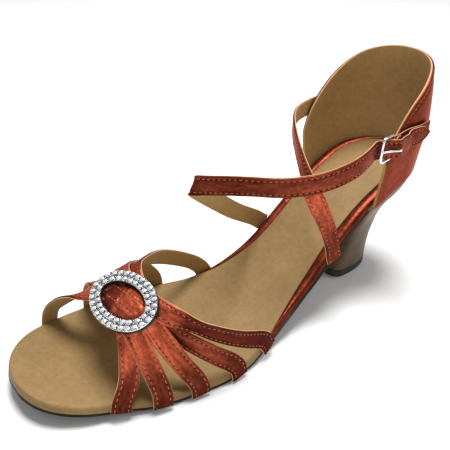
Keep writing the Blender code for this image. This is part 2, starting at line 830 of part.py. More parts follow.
def make_ankle_straps(look):
    """The inner strap, buckled on the outer ankle, and the outer one, sewn across."""
    lie = 3 * GAP + STRAP_HALF
    tail_lie = 2 * GAP + TAB_THICK + 3 * GAP + STRAP_HALF
    over_tab = TAB_LIE + TAB_THICK / 2 + 3 * GAP + STRAP_HALF
    tail_height = BUCKLE_HEIGHT - TAIL_DROP
    points, widths = route_line(INNER_ANKLE, strap_root(INNER_ROOT, INNER_LEAN, False))
    end = [
        buckle_point(HALF_BUCKLE * -1.42, 0, STRAP_UNDER - GAP),
        buckle_point(-HALF_BUCKLE, 0, STRAP_UNDER - GAP),
        buckle_point(0.0, 0, (STRAP_UNDER + STRAP_OVER) / 2),
        buckle_point(HALF_BUCKLE, 0, STRAP_OVER + 2 * GAP),
        buckle_point(HALF_BUCKLE * 1.84, 0, over_tab + GAP),
        buckle_point(HALF_BUCKLE * 3.1, 0, over_tab),
    ]
    end += [on_counter(share, True, tail_height, tail_lie) for share in TAIL_RUNS]
    points += end
    widths += [BUCKLE_UP] * len(end)
    line, ways = smoothed(points, widths, 64)
    count = len(line)
    taper = [min(1.0, 0.25 + 0.75 * (count - 1 - i) / 3) for i in range(count)]
    width = [ANKLE_WIDTH * share for share in taper]
    sections = strip_loops(line, ways, [0.0] * count, width, STRAP_THICK)
    inner = loft("ankle_strap_inner", sections, look)
    hole = rod(
        [
            buckle_point(HALF_BUCKLE * 0.96, 0, STRAP_OVER + STRAP_HALF * far)
            for far in (-3, 4)
        ],
        PRONG_RADIUS + 1.5 * GAP,
        12,
    )
    subtract(inner, loft("strap_hole", hole, look))

    points, widths = route_line(OUTER_ANKLE, strap_root(OUTER_ROOT, OUTER_LEAN, True))
    end_height = BUCKLE_HEIGHT - 2 * TAIL_DROP
    end = [on_counter(share, False, end_height, lie) for share in OUTER_END_RUNS]
    points += end
    widths += [Vector((0, 0, 1))] * len(end)
    line, ways = smoothed(points, [-w for w in widths], 40)
    width = [ANKLE_WIDTH] * len(line)
    sections = strip_loops(line, ways, [0.0] * len(line), width, STRAP_THICK)
    loft("ankle_strap_outer", sections, look)


def make_tab(look):
    """The folded tab from the counter's outside round the buckle's rear bar."""
    points = [buckle_point(HALF_BUCKLE * 2.16, 0, TAB_LIE)]
    points.append(buckle_point(HALF_BUCKLE * 1.6, 0, TAB_LIE + GAP / 2))
    for i in range(9):
        angle = math.radians(60 + 240 * i / 8)
        along, out = TAB_BEND * math.cos(angle), TAB_BEND * math.sin(angle)
        points.append(buckle_point(HALF_BUCKLE + along, 0, out))
    points.append(buckle_point(HALF_BUCKLE * 1.6, 0, -TAB_LIE - GAP / 2))
    points.append(buckle_point(HALF_BUCKLE * 2.26, 0, -TAB_LIE))
    lie = 2 * GAP + TAB_THICK / 2
    tab_height = BUCKLE_HEIGHT - TAIL_DROP
    points += [on_counter(share, True, tab_height, lie) for share in TAB_RUNS]
    ways = [-BUCKLE_UP] * len(points)
    width = [ANKLE_WIDTH - 2 * GAP] * len(points)
    sections = strip_loops(points, ways, [0.0] * len(points), width, TAB_THICK)
    tab = loft("buckle_tab", sections, look)
    slot = rod(
        [buckle_point(HALF_BUCKLE * 0.96, 0, out) for out in (0.0, TAB_BEND + 2 * TAB_THICK)],
        PRONG_RADIUS + 1.5 * GAP,
        12,
    )
    subtract(tab, loft("tab_slot", slot, look))


def settle():
    """Puts the middle of the shoe's footprint on the origin."""
    bpy.context.view_layer.update()
    graph = bpy.context.evaluated_depsgraph_get()
    corners = []
    for item in shoe.children:
        if item.hide_render:
            continue
        solid = item.evaluated_get(graph)
        mesh = solid.to_mesh()
        corners += [solid.matrix_world @ v.co for v in mesh.vertices]
        solid.to_mesh_clear()
    for axis in (0, 1):
        low = min(c[axis] for c in corners)
        high = max(c[axis] for c in corners)
        shoe.location[axis] = -(low + high) / 2


for old in list(bpy.data.objects):
    bpy.data.objects.remove(old)

shoe = bpy.data.objects.new("shoe", None)
bpy.context.collection.objects.link(shoe)

satin = material("copper satin", (0.33, 0.045, 0.018), 0.42)
tan = material("tan lining", (0.42, 0.27, 0.12), 0.75)
suede = material("grey suede", (0.10, 0.085, 0.07), 0.95)
heel_cover = material("brown heel cover", (0.16, 0.11, 0.065), 0.5)
rubber = material("dark rubber", (0.03, 0.028, 0.026), 0.7)
metal = material("silver metal", (0.75, 0.76, 0.78), 0.25, 1.0)

whole = bed_runs(END_STOP, FOOTBED_LENGTH - END_STOP, 40)
front_only = bed_runs(END_STOP + OUTSOLE_SETBACK, HEEL_FRONT - BREAST_CLEAR, 34)
plate("sock", whole, 0.0, SOCK_THICK, sock_setback, tan)
board_top = SOCK_THICK + GAP
plate("insole_board", whole, board_top, board_top + BOARD_THICK, lambda run: 0.0, satin)
outsole_top = board_top + BOARD_THICK + SOLE_GAP
outsole_bottom = outsole_top + OUTSOLE_THICK
plate("outsole", front_only, outsole_top, outsole_bottom, lambda run: OUTSOLE_SETBACK, suede)
make_heel(heel_cover, rubber)
make_counter(satin)
make_vamp(satin)
make_slide(metal)
make_ankle_straps(satin)
make_buckle(metal)
make_tab(satin)
settle()
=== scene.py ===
"""The looks of a woman's ballroom dance sandal for the left foot, dressed over its solids.

Metres, +Z up. The toe points along -Y and the outer side of the foot is +X. A place on the
footbed is given by its run, the level distance from the toe tip towards the heel.
"""

import math
import random
from bisect import bisect_right
from collections import namedtuple

import bmesh
import bpy
from mathutils import Euler, Matrix, Vector, noise


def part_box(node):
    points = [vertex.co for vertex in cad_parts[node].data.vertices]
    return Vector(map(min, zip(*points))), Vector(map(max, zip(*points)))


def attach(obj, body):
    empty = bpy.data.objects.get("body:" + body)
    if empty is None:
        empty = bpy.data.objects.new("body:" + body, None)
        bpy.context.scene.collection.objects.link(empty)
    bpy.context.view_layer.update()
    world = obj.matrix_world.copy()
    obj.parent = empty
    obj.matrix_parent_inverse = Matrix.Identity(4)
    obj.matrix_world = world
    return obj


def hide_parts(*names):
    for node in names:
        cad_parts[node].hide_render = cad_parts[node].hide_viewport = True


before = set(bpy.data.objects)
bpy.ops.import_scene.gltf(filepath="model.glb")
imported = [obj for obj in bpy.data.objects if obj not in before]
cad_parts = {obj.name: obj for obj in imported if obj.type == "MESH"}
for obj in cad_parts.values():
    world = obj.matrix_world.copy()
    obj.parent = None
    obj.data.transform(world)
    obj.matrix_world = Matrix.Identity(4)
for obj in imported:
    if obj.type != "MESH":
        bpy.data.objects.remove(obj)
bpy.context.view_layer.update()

MM = 0.001
UP = Vector((0, 0, 1))

# Sizes of the last and its layers, as the solids have them. LENGTH is the level footbed's.
LENGTH = 0.2145
BALL_WIDTH = 0.073
HEEL_RISE = 0.059
TOE_SPRING = 0.0072
SOCK_THICK = 0.0009
BOARD_THICK = 0.0019
OUTSOLE_THICK = 0.0013
GAP = 0.0003
SOLE_GAP = 1.5 * GAP
SOCK_SETBACK = 0.0048
BREAST_CLEAR = 0.0024
END_STOP = 0.00012
STRAP_WIDTH = 0.0081
STRAP_THICK = 0.0013
STACK_STEP = 0.00038
ANKLE_WIDTH = 0.0085
SLIDE_LENGTH = 0.0378
SLIDE_WIDTH = 0.0248
SLIDE_RIM = 0.0053
SLIDE_THICK = 0.0022
SLIDE_RUN = 0.2093 * LENGTH
SLIDE_SIDE = 0.005
SLIDE_HEIGHT = 0.0372
SLIDE_TILT = math.radians(28.6)
SLIDE_TURN = math.radians(5.0)
SLIDE_WAY = Vector((0.0, math.cos(SLIDE_TILT), math.sin(SLIDE_TILT)))
SLIDE_DOWN = Vector((0.0, math.sin(SLIDE_TILT), -math.cos(SLIDE_TILT)))
HEEL_FRONT = 0.802 * LENGTH
HEEL_MIDDLE = 0.86 * LENGTH
TIP_THICK = 0.0045
SEAT_MARGIN = 0.0021
COUNTER_WALL = 0.0019
COUNTER_FRONT = 0.804 * LENGTH
COUNTER_HEIGHT = 0.052
WIRE_RADIUS = 0.0007
PRONG_RADIUS = 0.0005
BUCKLE_LENGTH = 0.0095
TAB_THICK = 0.0012
TAIL_DROP = 0.001
BUCKLE_SIDE = 0.4589 * BALL_WIDTH
BUCKLE_RUN = 0.760 * LENGTH
BUCKLE_HEIGHT = 0.0835
TOE_ROUND = 0.168
TOE_POWER = 2.1
BACK_ROUND = 0.116
BACK_POWER = 2.2


def table(columns, *rows):
    """Rows of numbers with named columns."""
    Row = namedtuple("Row", columns)
    return [Row(*numbers) for numbers in rows]


# The footbed from above, and from the side, as shares of its length, width and rise
PLAN = table(
    "run centre half",
    (0.000, -0.062, 0.436), (0.075, -0.078, 0.436), (0.131, -0.074, 0.440),
    (0.197, -0.047, 0.485), (0.263, -0.028, 0.507), (0.329, -0.005, 0.512),
    (0.394, 0.012, 0.488), (0.460, 0.038, 0.415), (0.526, 0.052, 0.356),
    (0.610, 0.051, 0.318), (0.704, 0.033, 0.303), (0.798, 0.010, 0.308),
    (0.892, -0.004, 0.314), (1.000, 0.000, 0.310),
)
SIDE = table(
    "run rise",
    (0.000, 0.000), (0.320, 0.000), (0.392, 0.000), (0.451, 0.036), (0.517, 0.119),
    (0.601, 0.280), (0.695, 0.525), (0.789, 0.737), (0.883, 0.881), (0.949, 0.958),
    (1.000, 1.000),
)
SPRING_RUN = 0.320

# The heel from its seat down
HEEL = table(
    "drop front back half",
    (0.00, 0.801, 1.010, 1.00), (0.07, 0.805, 1.006, 0.965), (0.20, 0.815, 0.988, 0.80),
    (0.38, 0.823, 0.963, 0.615), (0.56, 0.822, 0.944, 0.500), (0.76, 0.804, 0.929, 0.470),
    (0.90, 0.785, 0.922, 0.490), (1.00, 0.774, 0.919, 0.520),
)

# The counter's rim, and how far its wall stands out over its height
RIM = table(
    "run height",
    (0.802, 0.440), (0.812, 0.560), (0.830, 0.665), (0.865, 0.775), (0.910, 0.875),
    (0.955, 0.955), (1.000, 1.000),
)
FLARE = table("height out", (0.00, 0.26), (0.20, 0.84), (0.45, 1.58), (0.70, 1.26), (1.00, 0.32))

# The vamp bands, toe to instep, down their inner and their outer side and over the middle
DESCENT = "foot shoulder_side shoulder_run full bow lift"
INNER = table(
    DESCENT,
    (0.134, -0.137, 0.194, 1.30, 0.000, -0.80),
    (0.238, -0.165, 0.205, 1.35, 0.000, -0.50),
    (0.317, -0.178, 0.219, 1.30, 0.000, -0.10),
    (0.395, -0.178, 0.242, 1.20, -0.030, 0.50),
    (0.500, -0.137, 0.261, 1.10, -0.078, 1.20),
)
OUTER = table(
    DESCENT,
    (0.138, 0.202, 0.182, 0.78, 0.058, -0.20),
    (0.209, 0.229, 0.189, 1.00, 0.010, -0.10),
    (0.284, 0.259, 0.220, 0.83, 0.018, 0.28),
    (0.372, 0.225, 0.219, 0.92, 0.040, 1.20),
    (0.460, 0.360, 0.243, 0.92, 0.066, 0.30),
)
MIDDLE = table(
    "run layer", (0.1900, 2), (0.1995, 1), (0.2110, 0), (0.2225, 1), (0.2350, 2)
)

# The ankle straps from the footbed's edge, and the way that their width lies
ROUTE = "side run height across along up"
INNER_ANKLE = table(
    ROUTE,
    (-0.274, 0.6364, 0.559, 0.00, 0.82, 0.55), (-0.244, 0.6037, 0.641, 0.04, 0.75, 0.62),
    (-0.189, 0.5431, 0.793, 0.10, 0.68, 0.72), (-0.141, 0.4872, 0.958, 0.12, 0.66, 0.72),
    (-0.107, 0.4429, 1.093, 0.12, 0.60, 0.78), (-0.088, 0.4126, 1.190, 0.14, 0.45, 0.88),
    (-0.048, 0.4028, 1.237, 0.12, 0.28, 0.95), (0.034, 0.4149, 1.266, 0.06, 0.12, 0.99),
    (0.144, 0.4373, 1.295, 0.00, 0.05, 1.00), (0.260, 0.4615, 1.322, 0.00, 0.00, 1.00),
    (0.397, 0.5035, 1.336, -0.05, -0.02, 1.00), (0.500, 0.5641, 1.364, -0.08, -0.05, 0.98),
    (0.532, 0.6340, 1.403, -0.05, -0.05, 0.98), (0.493, 0.6900, 1.420, 0.00, 0.00, 1.00),
)
OUTER_ANKLE = table(
    ROUTE,
    (0.373, 0.6657, 0.636, 0.00, 0.95, 0.30), (0.370, 0.6527, 0.763, 0.00, 0.85, 0.50),
    (0.349, 0.6387, 0.898, -0.04, 0.70, 0.70), (0.301, 0.6303, 1.017, -0.08, 0.55, 0.82),
    (0.219, 0.6317, 1.119, -0.10, 0.35, 0.93), (0.096, 0.6503, 1.207, -0.06, 0.15, 0.98),
    (-0.068, 0.6830, 1.288, 0.02, 0.00, 1.00), (-0.233, 0.7249, 1.347, 0.05, -0.05, 1.00),
    (-0.349, 0.7716, 1.373, 0.05, -0.08, 1.00),
)
INNER_ROOT = 0.656
INNER_LEAN = 0.0030
OUTER_ROOT = 0.671
OUTER_LEAN = -0.0026
TAIL_RUNS = (0.858, 0.886, 0.909)
TAB_RUNS = (0.848, 0.876, 0.904, 0.928)
OUTER_END_RUNS = (0.834, 0.862, 0.890)

# Values that follow from those sizes
SMALL_STEP = 0.002 * LENGTH
BOARD_TOP = SOCK_THICK + GAP
BOARD_BOTTOM = BOARD_TOP + BOARD_THICK
SOLE_TOP = BOARD_BOTTOM + SOLE_GAP
SOLE_BOTTOM = SOLE_TOP + OUTSOLE_THICK
EDGE_OUT = 3 * GAP + STRAP_THICK / 2
FOOT_LEAD = 0.003
BAND_DROP = SLIDE_THICK / 2 + 2 * GAP + STRAP_THICK / 2
BAND_SECTIONS = 29
BAND_STEPS = 14
BAND_POINTS = 90
BAND_PASSES = 10
SEAT_DEPTH = SOCK_THICK + BOARD_THICK + 2 * GAP
FRONT_SHARE = 0.34
BUCKLE_ALONG = Vector((-0.19, 0.98, -0.05)).normalized()
BUCKLE_UP = (UP - UP.project(BUCKLE_ALONG)).normalized()
BUCKLE_OUT = BUCKLE_ALONG.cross(BUCKLE_UP)
HALF_BUCKLE = BUCKLE_LENGTH / 2
TAB_BEND = WIRE_RADIUS + 1.5 * GAP + TAB_THICK / 2
TAB_LIE = (TAB_THICK + GAP) / 2
STRAP_HALF = STRAP_THICK / 2
STRAP_UNDER = -(WIRE_RADIUS + 1.5 * GAP + STRAP_HALF)
STRAP_OVER = TAB_BEND + TAB_THICK / 2 + GAP + STRAP_HALF

# Where the last's middle lies in the frame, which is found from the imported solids
origin = Vector()


def read_table(rows, at, column):
    """A smooth reading of one column of a table whose first column is the place."""
    places = [row[0] for row in rows]
    values = [getattr(row, column) for row in rows]
    last = len(rows) - 1
    if at <= places[0] or at >= places[last]:
        return values[0] if at <= places[0] else values[last]
    spans = [b - a for a, b in zip(places, places[1:])]
    steps = [(b - a) / span for a, b, span in zip(values, values[1:], spans)]

    def tangent(k):
        before, after = steps[max(k - 1, 0)], steps[min(k, last - 1)]
        if k in (0, last):
            return after
        return 0.0 if before * after <= 0 else 2 * before * after / (before + after)

    i = bisect_right(places, at) - 1
    s = (at - places[i]) / spans[i]
    return (
        values[i] * (1 + 2 * s) * (1 - s) ** 2
        + values[i + 1] * s * s * (3 - 2 * s)
        + spans[i] * tangent(i) * s * (1 - s) ** 2
        - spans[i] * tangent(i + 1) * s * s * (1 - s)
    )


def eased(value, start, end):
    """0 before start and 1 after end, with a smooth passage between them."""
    share = min(1.0, max(0.0, (value - start) / (end - start)))
    return share * share * (3.0 - 2.0 * share)


def dip(off, wide):
    """A narrow bell: 1 on a line and 0 away from it."""
    return math.exp(-((off / wide) ** 2))


def plan_half(run):
    share = run / LENGTH
    half = read_table(PLAN, share, "half")
    to_toe, to_back = 1.0 - share / TOE_ROUND, 1.0 - (1.0 - share) / BACK_ROUND
    for left, power in ((to_toe, TOE_POWER), (to_back, BACK_POWER)):
        if left > 0:
            half *= (1.0 - min(1.0, left) ** power) ** (1.0 / power)
    return half * BALL_WIDTH


def plan_centre(run):
    return read_table(PLAN, run / LENGTH, "centre") * BALL_WIDTH


def bed_height(run):
    """Height of the sock's top over the floor."""
    share = run / LENGTH
    spring = max(0.0, 1.0 - share / SPRING_RUN)
    return SOLE_BOTTOM + HEEL_RISE * read_table(SIDE, share, "rise") + TOE_SPRING * spring**2


def bed_slope(run):
    rise = bed_height(run + SMALL_STEP) - bed_height(run - SMALL_STEP)
    return math.atan2(rise, 2 * SMALL_STEP)


def place(side, run, height):
    """A point of the shoe from its side, run and height."""
    return Vector((side, run - LENGTH / 2, height)) + origin


def bed_point(run, side, depth):
    """The point at this depth, square to the bed, under its top."""
    slope = bed_slope(run)
    height = bed_height(run) - depth * math.cos(slope)
    return place(side, run + depth * math.sin(slope), height)


def edge_side(run, sign):
    """The side of the footbed's edge: sign is 1 for the outer edge and -1 for the inner."""
    return plan_centre(run) + sign * plan_half(run)


def edge_point(run, outer, out, depth):
    """A point beside the footbed's edge, out from it and at a depth under its top."""
    sign = 1.0 if outer else -1.0
    low, high = max(run - SMALL_STEP, 0.0), min(run + SMALL_STEP, LENGTH)
    normal = Vector(((high - low) * sign, edge_side(low, sign) - edge_side(high, sign), 0.0))
    return bed_point(run, edge_side(run, sign), depth) + normal.normalized() * out


def sock_setback(run):
    """How far the sock stays inside the footbed's edge behind the forefoot."""
    return GAP + SOCK_SETBACK * eased(run, 0.43 * LENGTH, 0.67 * LENGTH)


def bed_runs(first, last, count):
    """Runs from first to last, closer together at the rounded toe and back."""
    even = [i / (count - 1) for i in range(count)]
    mixed = [0.72 * (0.5 - 0.5 * math.cos(math.pi * s)) + 0.28 * s for s in even]
    return [first + (last - first) * m for m in mixed]


def relaxed(points, passes):
    """The same line with its corners softened and its ends kept."""
    line = [p.copy() for p in points]
    for _ in range(passes):
        inner = [(a + 2 * b + c) / 4 for a, b, c in zip(line, line[1:], line[2:])]
        line = [line[0]] + inner + [line[-1]]
    return line


def running(points):
    """The distance along a line at each of its points."""
    lengths = [0.0]
    for a, b in zip(points, points[1:]):
        lengths.append(lengths[-1] + (b - a).length)
    return lengths


def even_places(lengths, count):
    """Even distances along a line, each as the point before it and the share to the next."""
    found, k = [], 0
    for i in range(count):
        goal = lengths[-1] * i / (count - 1)
        while k < len(lengths) - 2 and lengths[k + 1] < goal:
            k += 1
        found.append((k, (goal - lengths[k]) / (lengths[k + 1] - lengths[k])))
    return found


def at_places(values, places):
    return [values[k].lerp(values[k + 1], share) for k, share in places]


def resampled(points, count):
    """count points at even distances along a line."""
    return at_places(points, even_places(running(points), count))


def spline(values, i, s):
    """A smooth value between the i-th of a list and the next one."""
    last = len(values) - 1
    a, b, c, d = (values[min(max(k, 0), last)] for k in range(i - 1, i + 3))
    bend = (2 * a - 5 * b + 4 * c - d) * s * s + (3 * b - 3 * c + d - a) * s**3
    return 0.5 * (2 * b + (c - a) * s + bend)


def dense_spline(values, fine):
    """The smooth line through values, with fine steps between each two."""
    spans = range(len(values) - 1)
    return [spline(values, i, k / fine) for i in spans for k in range(fine)] + [values[-1]]


def circle(count, shift=0.0, turn=0.0):
    """Cosine and sine of even angles, once round."""
    angles = (turn + 2 * math.pi * (i + shift) / count for i in range(count))
    return [(math.cos(a), math.sin(a)) for a in angles]


def ring_at(centre, across, other, count, shift=0.0):
    """Points round a centre, on a circle that the two ways span."""
    return [centre + across * c + other * s for c, s in circle(count, shift)]


def settle_origin():
    """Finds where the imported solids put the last's middle."""
    board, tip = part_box("insole_board"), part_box("heel_tip")
    origin.x = (tip[0].x + tip[1].x) / 2 - plan_centre(HEEL_MIDDLE)
    origin.y = board[0].y - bed_point(END_STOP, 0.0, BOARD_BOTTOM).y


# Looks
class Look:
    """A material, whose plain numbers are set on the shader's own sockets."""

    def __init__(self, name, colour, roughness, metallic=0.0, **numbers):
        self.material = bpy.data.materials.new(name)
        self.material.use_nodes = True
        self.shader = self.material.node_tree.nodes["Principled BSDF"]
        self.shader.inputs["Base Color"].default_value = (*colour, 1.0)
        self.shader.inputs["Roughness"].default_value = roughness
        self.shader.inputs["Metallic"].default_value = metallic
        for key, value in numbers.items():
            self.shader.inputs[key.replace("_", " ")].default_value = value

    def add(self, kind, **values):
        """A node, with its own values and those of its sockets."""
        made = self.material.node_tree.nodes.new("ShaderNode" + kind)
        for key, value in values.items():
            if hasattr(made, key):
                setattr(made, key, value)
            else:
                made.inputs[key.replace("_", " ")].default_value = value
        return made

    def link(self, source, target):
        self.material.node_tree.links.new(source, target)

    def feed(self, socket, source):
        """Links a value or colour to the shader."""
        self.link(source, self.shader.inputs[socket])

    def texture(self, kind, output, strap=None, **values):
        """A texture over the place in metres or, by its own scales, along and across a strap."""
        mapping = self.add("Mapping", Scale=strap or (1, 1, 1))
        source = self.add("TexCoord").outputs["UV" if strap else "Object"]
        made = self.add("Tex" + kind, **values)
        self.link(source, mapping.inputs["Vector"])
        self.link(mapping.outputs["Vector"], made.inputs["Vector"])
        return made.outputs[output]

    def noise(self, scale, detail=2.0, rough=0.5, strap=None):
        return self.texture("Noise", "Fac", strap, Scale=scale, Detail=detail, Roughness=rough)

    def cells(self, scale):
        return self.texture("Voronoi", "Distance", Scale=scale)

    def ramp(self, value, *stops):
        """Colours over a value, from (place, colour) stops."""
        made = self.add("ValToRGB")
        elements = made.color_ramp.elements
        while len(elements) < len(stops):
            elements.new(0.5)
        for element, (at, colour) in zip(elements, stops):
            element.position = at
            element.color = (*colour, 1.0)
        self.link(value, made.inputs["Fac"])
        return made.outputs["Color"]

    def mix(self, blend, share, first, second):
        """Mixes two colours, by a number or by a value."""
        made = self.add("Mix", data_type="RGBA", blend_type=blend)
        for slot, given in ((0, share), (6, first), (7, second)):
            if isinstance(given, float):
                made.inputs[slot].default_value = given
            elif isinstance(given, tuple):
                made.inputs[slot].default_value = (*given, 1.0)
            else:
                self.link(given, made.inputs[slot])
        return made.outputs[2]

    def spread(self, value, low, high):
        """A value from 0 to 1, taken onto another range."""
        made = self.add("MapRange", To_Min=low, To_Max=high)
        self.link(value, made.inputs["Value"])
        return made.outputs["Result"]

    def tone(self):
        """How light a point is painted: satin's painted light and shade, and the sole's darker
        edge.
        """
        return self.add("Attribute", attribute_name="tone").outputs["Fac"]

    def shaded(self, colour, dark):
        """A colour that a low tone darkens."""
        shade = self.mix("MIX", self.tone(), dark, (1.0, 1.0, 1.0))
        return self.mix("MULTIPLY", 1.0, colour, shade)

    def bump(self, *layers):
        """Bump layers, each (height value, strength, depth in metres)."""
        normal = None
        for height, strength, depth in layers:
            made = self.add("Bump", Strength=strength, Distance=depth)
            self.link(height, made.inputs["Height"])
            if normal is not None:
                self.link(normal, made.inputs["Normal"])
            normal = made.outputs["Normal"]
        self.feed("Normal", normal)


def make_satin(name, streaks):
    """Copper-red satin with a lively gloss, whose long threads run along the strap."""
    look = Look(name, (0.40, 0.05, 0.02), 0.34, 0.62, Anisotropic=0.4, Sheen_Weight=0.04,
                Sheen_Roughness=0.3, Sheen_Tint=(1.0, 0.35, 0.2, 1.0),
                Specular_Tint=(1.0, 0.45, 0.3, 1.0))
    crumple = look.noise(620.0, 4.0, 0.6)
    cloud = look.noise(1.0, 3.0, strap=(110, 420, 1))
    threads = look.noise(1.0, 2.0, strap=(300, 4200, 1))
    wrinkles = look.noise(1.0, 3.0, strap=(420, 160, 1))
    colour = look.ramp(crumple, (0.32, (0.54, 0.096, 0.044)), (0.50, (0.70, 0.138, 0.065)),
                       (0.68, (0.86, 0.190, 0.094)))
    cloud = look.ramp(cloud, (0.34, (0.66, 0.62, 0.60)), (0.64, (1.30, 1.30, 1.28)))
    shine = look.ramp(threads, (0.35, (0.50, 0.46, 0.46)), (0.65, (1.45, 1.45, 1.45)))
    colour = look.mix("MULTIPLY", streaks, colour, cloud)
    colour = look.mix("MULTIPLY", 0.35 * streaks, colour, shine)
    # The tone's painted light and shade darkens the colour and dims the reflections
    look.feed("Base Color", look.shaded(colour, (0.03, 0.02, 0.025)))
    look.feed("Specular IOR Level", look.spread(look.tone(), 0.05, 0.45))
    look.feed("Roughness", look.spread(look.noise(420.0), 0.26, 0.46))
    look.feed("Tangent", look.add("Tangent", direction_type="UV_MAP").outputs["Tangent"])
    look.bump(
        (wrinkles, 0.35 * streaks, 0.0006),
        (crumple, 0.28 * streaks, 0.0004),
        (threads, 0.35, 0.00006),
    )
    return look


def make_tan(name, light, dark, roughness=0.66, gloss=0.35):
    """Smooth matt lining leather, mottled and a little worn."""
    look = Look(name, light, roughness, Sheen_Weight=0.1 * gloss, Specular_IOR_Level=gloss)
    colour = look.ramp(look.noise(26.0, 3.0), (0.34, dark), (0.62, light))
    spots = look.ramp(look.noise(420.0, 4.0, 0.7), (0.36, (0.86, 0.86, 0.84)),
                      (0.60, (1.05, 1.05, 1.05)))
    look.feed("Base Color", look.mix("MULTIPLY", 0.8, colour, spots))
    look.bump(
        (look.noise(75.0, 3.0), 0.25, 0.0012),
        (look.cells(1500.0), 0.22, 0.00008),
        (look.noise(3800.0, 1.0), 0.15, 0.00004),
    )
    return look


def make_suede():
    """Napped grey-brown sole leather, scuffed paler."""
    look = Look("grey_suede", (0.10, 0.085, 0.07), 0.95, Sheen_Weight=0.08,
                Specular_IOR_Level=0.12)
    colour = look.ramp(look.noise(55.0, 5.0), (0.35, (0.060, 0.050, 0.042)),
                       (0.55, (0.105, 0.088, 0.072)), (0.75, (0.165, 0.140, 0.112)))
    look.feed("Base Color", look.shaded(colour, (0.10, 0.10, 0.10)))
    look.bump((look.noise(260.0, 3.0), 0.3, 0.0005), (look.noise(3000.0), 0.6, 0.0002))
    return look


def make_mottled(name, colour, roughness, scale, detail, *stops, **numbers):
    """A plain look, mottled between the colours of its stops."""
    look = Look(name, colour, roughness, **numbers)
    look.feed("Base Color", look.ramp(look.noise(scale, detail), *stops))
    return look


def make_heel_cover():
    """Olive-brown heel cover, half matt with a fine grain."""
    look = make_mottled("heel_cover", (0.12, 0.085, 0.048), 0.5, 60.0, 4.0,
                        (0.34, (0.088, 0.058, 0.029)), (0.66, (0.136, 0.093, 0.048)),
                        Coat_Weight=0.1, Coat_Roughness=0.4, Specular_IOR_Level=0.3)
    look.bump((look.cells(1300.0), 0.35, 0.00012), (look.noise(120.0), 0.15, 0.0005))
    return look


def make_rubber():
    """Dark rubber with a fine pebble and paler scuffs."""
    look = make_mottled("tip_rubber", (0.03, 0.028, 0.026), 0.68, 240.0, 5.0,
                        (0.45, (0.022, 0.021, 0.020)), (0.75, (0.060, 0.055, 0.050)))
    look.bump((look.noise(2200.0), 0.4, 0.0001))
    return look


def make_silver(name, colour, roughness):
    """Bright plate with faint scratches."""
    look = Look(name, colour, roughness, 1.0)
    rough = look.spread(look.noise(500.0, 3.0), roughness * 0.7, roughness * 1.6)
    look.feed("Roughness", rough)
    look.bump((look.noise(1100.0), 0.12, 0.0001))
    return look


def make_crystal(name, colour, roughness, metallic):
    """A foil-backed clear stone's facets at one of three painted reflection brightnesses."""
    deep = tuple(c * 0.72 for c in colour)
    return make_mottled(name, colour, roughness, 650.0, 1.0, (0.35, deep), (0.65, colour),
                        metallic=metallic, Coat_Weight=1.0, Coat_Roughness=0.03, IOR=1.55)


def make_thread():
    """Twisted copper thread with a soft gloss."""
    look = make_mottled("thread", (0.55, 0.15, 0.07), 0.5, 900.0, 2.0,
                        (0.35, (0.42, 0.10, 0.045)), (0.68, (0.66, 0.20, 0.095)),
                        Sheen_Weight=0.2)
    look.bump((look.texture("Wave", "Fac", Scale=1400.0, Distortion=1.0), 0.5, 0.00005))
    return look


def make_floor_look():
    """Pale paper sweep, very slightly uneven."""
    return make_mottled("pale_floor", (0.86, 0.86, 0.86), 0.7, 3.0, 2.0,
                        (0.3, (0.84, 0.84, 0.84)), (0.7, (0.88, 0.88, 0.88)))


# Meshes: closed skins through rows of points, and many small shapes in one mesh
def finish_mesh(name, verts, faces, which, looks, sharp, uvs=None, tones=None):
    mesh = bpy.data.meshes.new(name)
    mesh.from_pydata(verts, [], faces)
    for look in looks:
        mesh.materials.append(look.material)
    mesh.polygons.foreach_set("material_index", which)
    if uvs:
        layer = mesh.uv_layers.new(name="UVMap")
        layer.data.foreach_set("uv", [c for uv in uvs for c in uv])
    tone = mesh.attributes.new("tone", "FLOAT", "POINT")
    tone.data.foreach_set("value", tones or [1.0] * len(verts))
    bm = bmesh.new()
    bm.from_mesh(mesh)
    if bm.calc_volume(signed=True) < 0:
        bmesh.ops.reverse_faces(bm, faces=bm.faces)
    bm.to_mesh(mesh)
    bm.free()
    mesh.shade_smooth()
    mesh.set_sharp_from_angle(angle=math.radians(sharp))
    made = bpy.data.objects.new(name, mesh)
    bpy.context.collection.objects.link(made)
    return made


def side_faces(start, tall, wide, ring=False):
    """Faces between closed rows of points, and back to the first row where it's a ring."""
    faces = []
    for i in range(tall if ring else tall - 1):
        a, b = start + i * wide, start + (i + 1) % tall * wide
        for j, k in zip(range(wide), [*range(1, wide), 0]):
            faces.append((a + j, a + k, b + k, b + j))
    return faces


def surface(name, rows, looks, strips=None, ring=False, sharp=60, tones=None):
    """A closed skin through closed rows of points. strips gives each column its look."""
    wide, tall = len(rows[0]), len(rows)
    strips = strips or [0] * wide
    along = running([row[0] for row in rows] + ([rows[0][0]] if ring else []))
    around = running(rows[tall // 2] + [rows[tall // 2][0]])
    faces, uvs = side_faces(0, tall, wide, ring), []
    which = strips[:wide] * (len(faces) // wide)
    for u, v in zip(along, along[1:]):
        for s, t in zip(around, around[1:]):
            uvs += [(u, s), (u, t), (v, t), (v, s)]
    if not ring:
        for start, order, at in ((0, -1, 0.0), ((tall - 1) * wide, 1, along[-1])):
            faces.append(tuple(range(start, start + wide))[::order])
            which.append(strips[0])
            uvs += [(at, around[j]) for j in range(wide)][::order]
    verts = [p for row in rows for p in row]
    return finish_mesh(name, verts, faces, which, looks, sharp, uvs, tones)


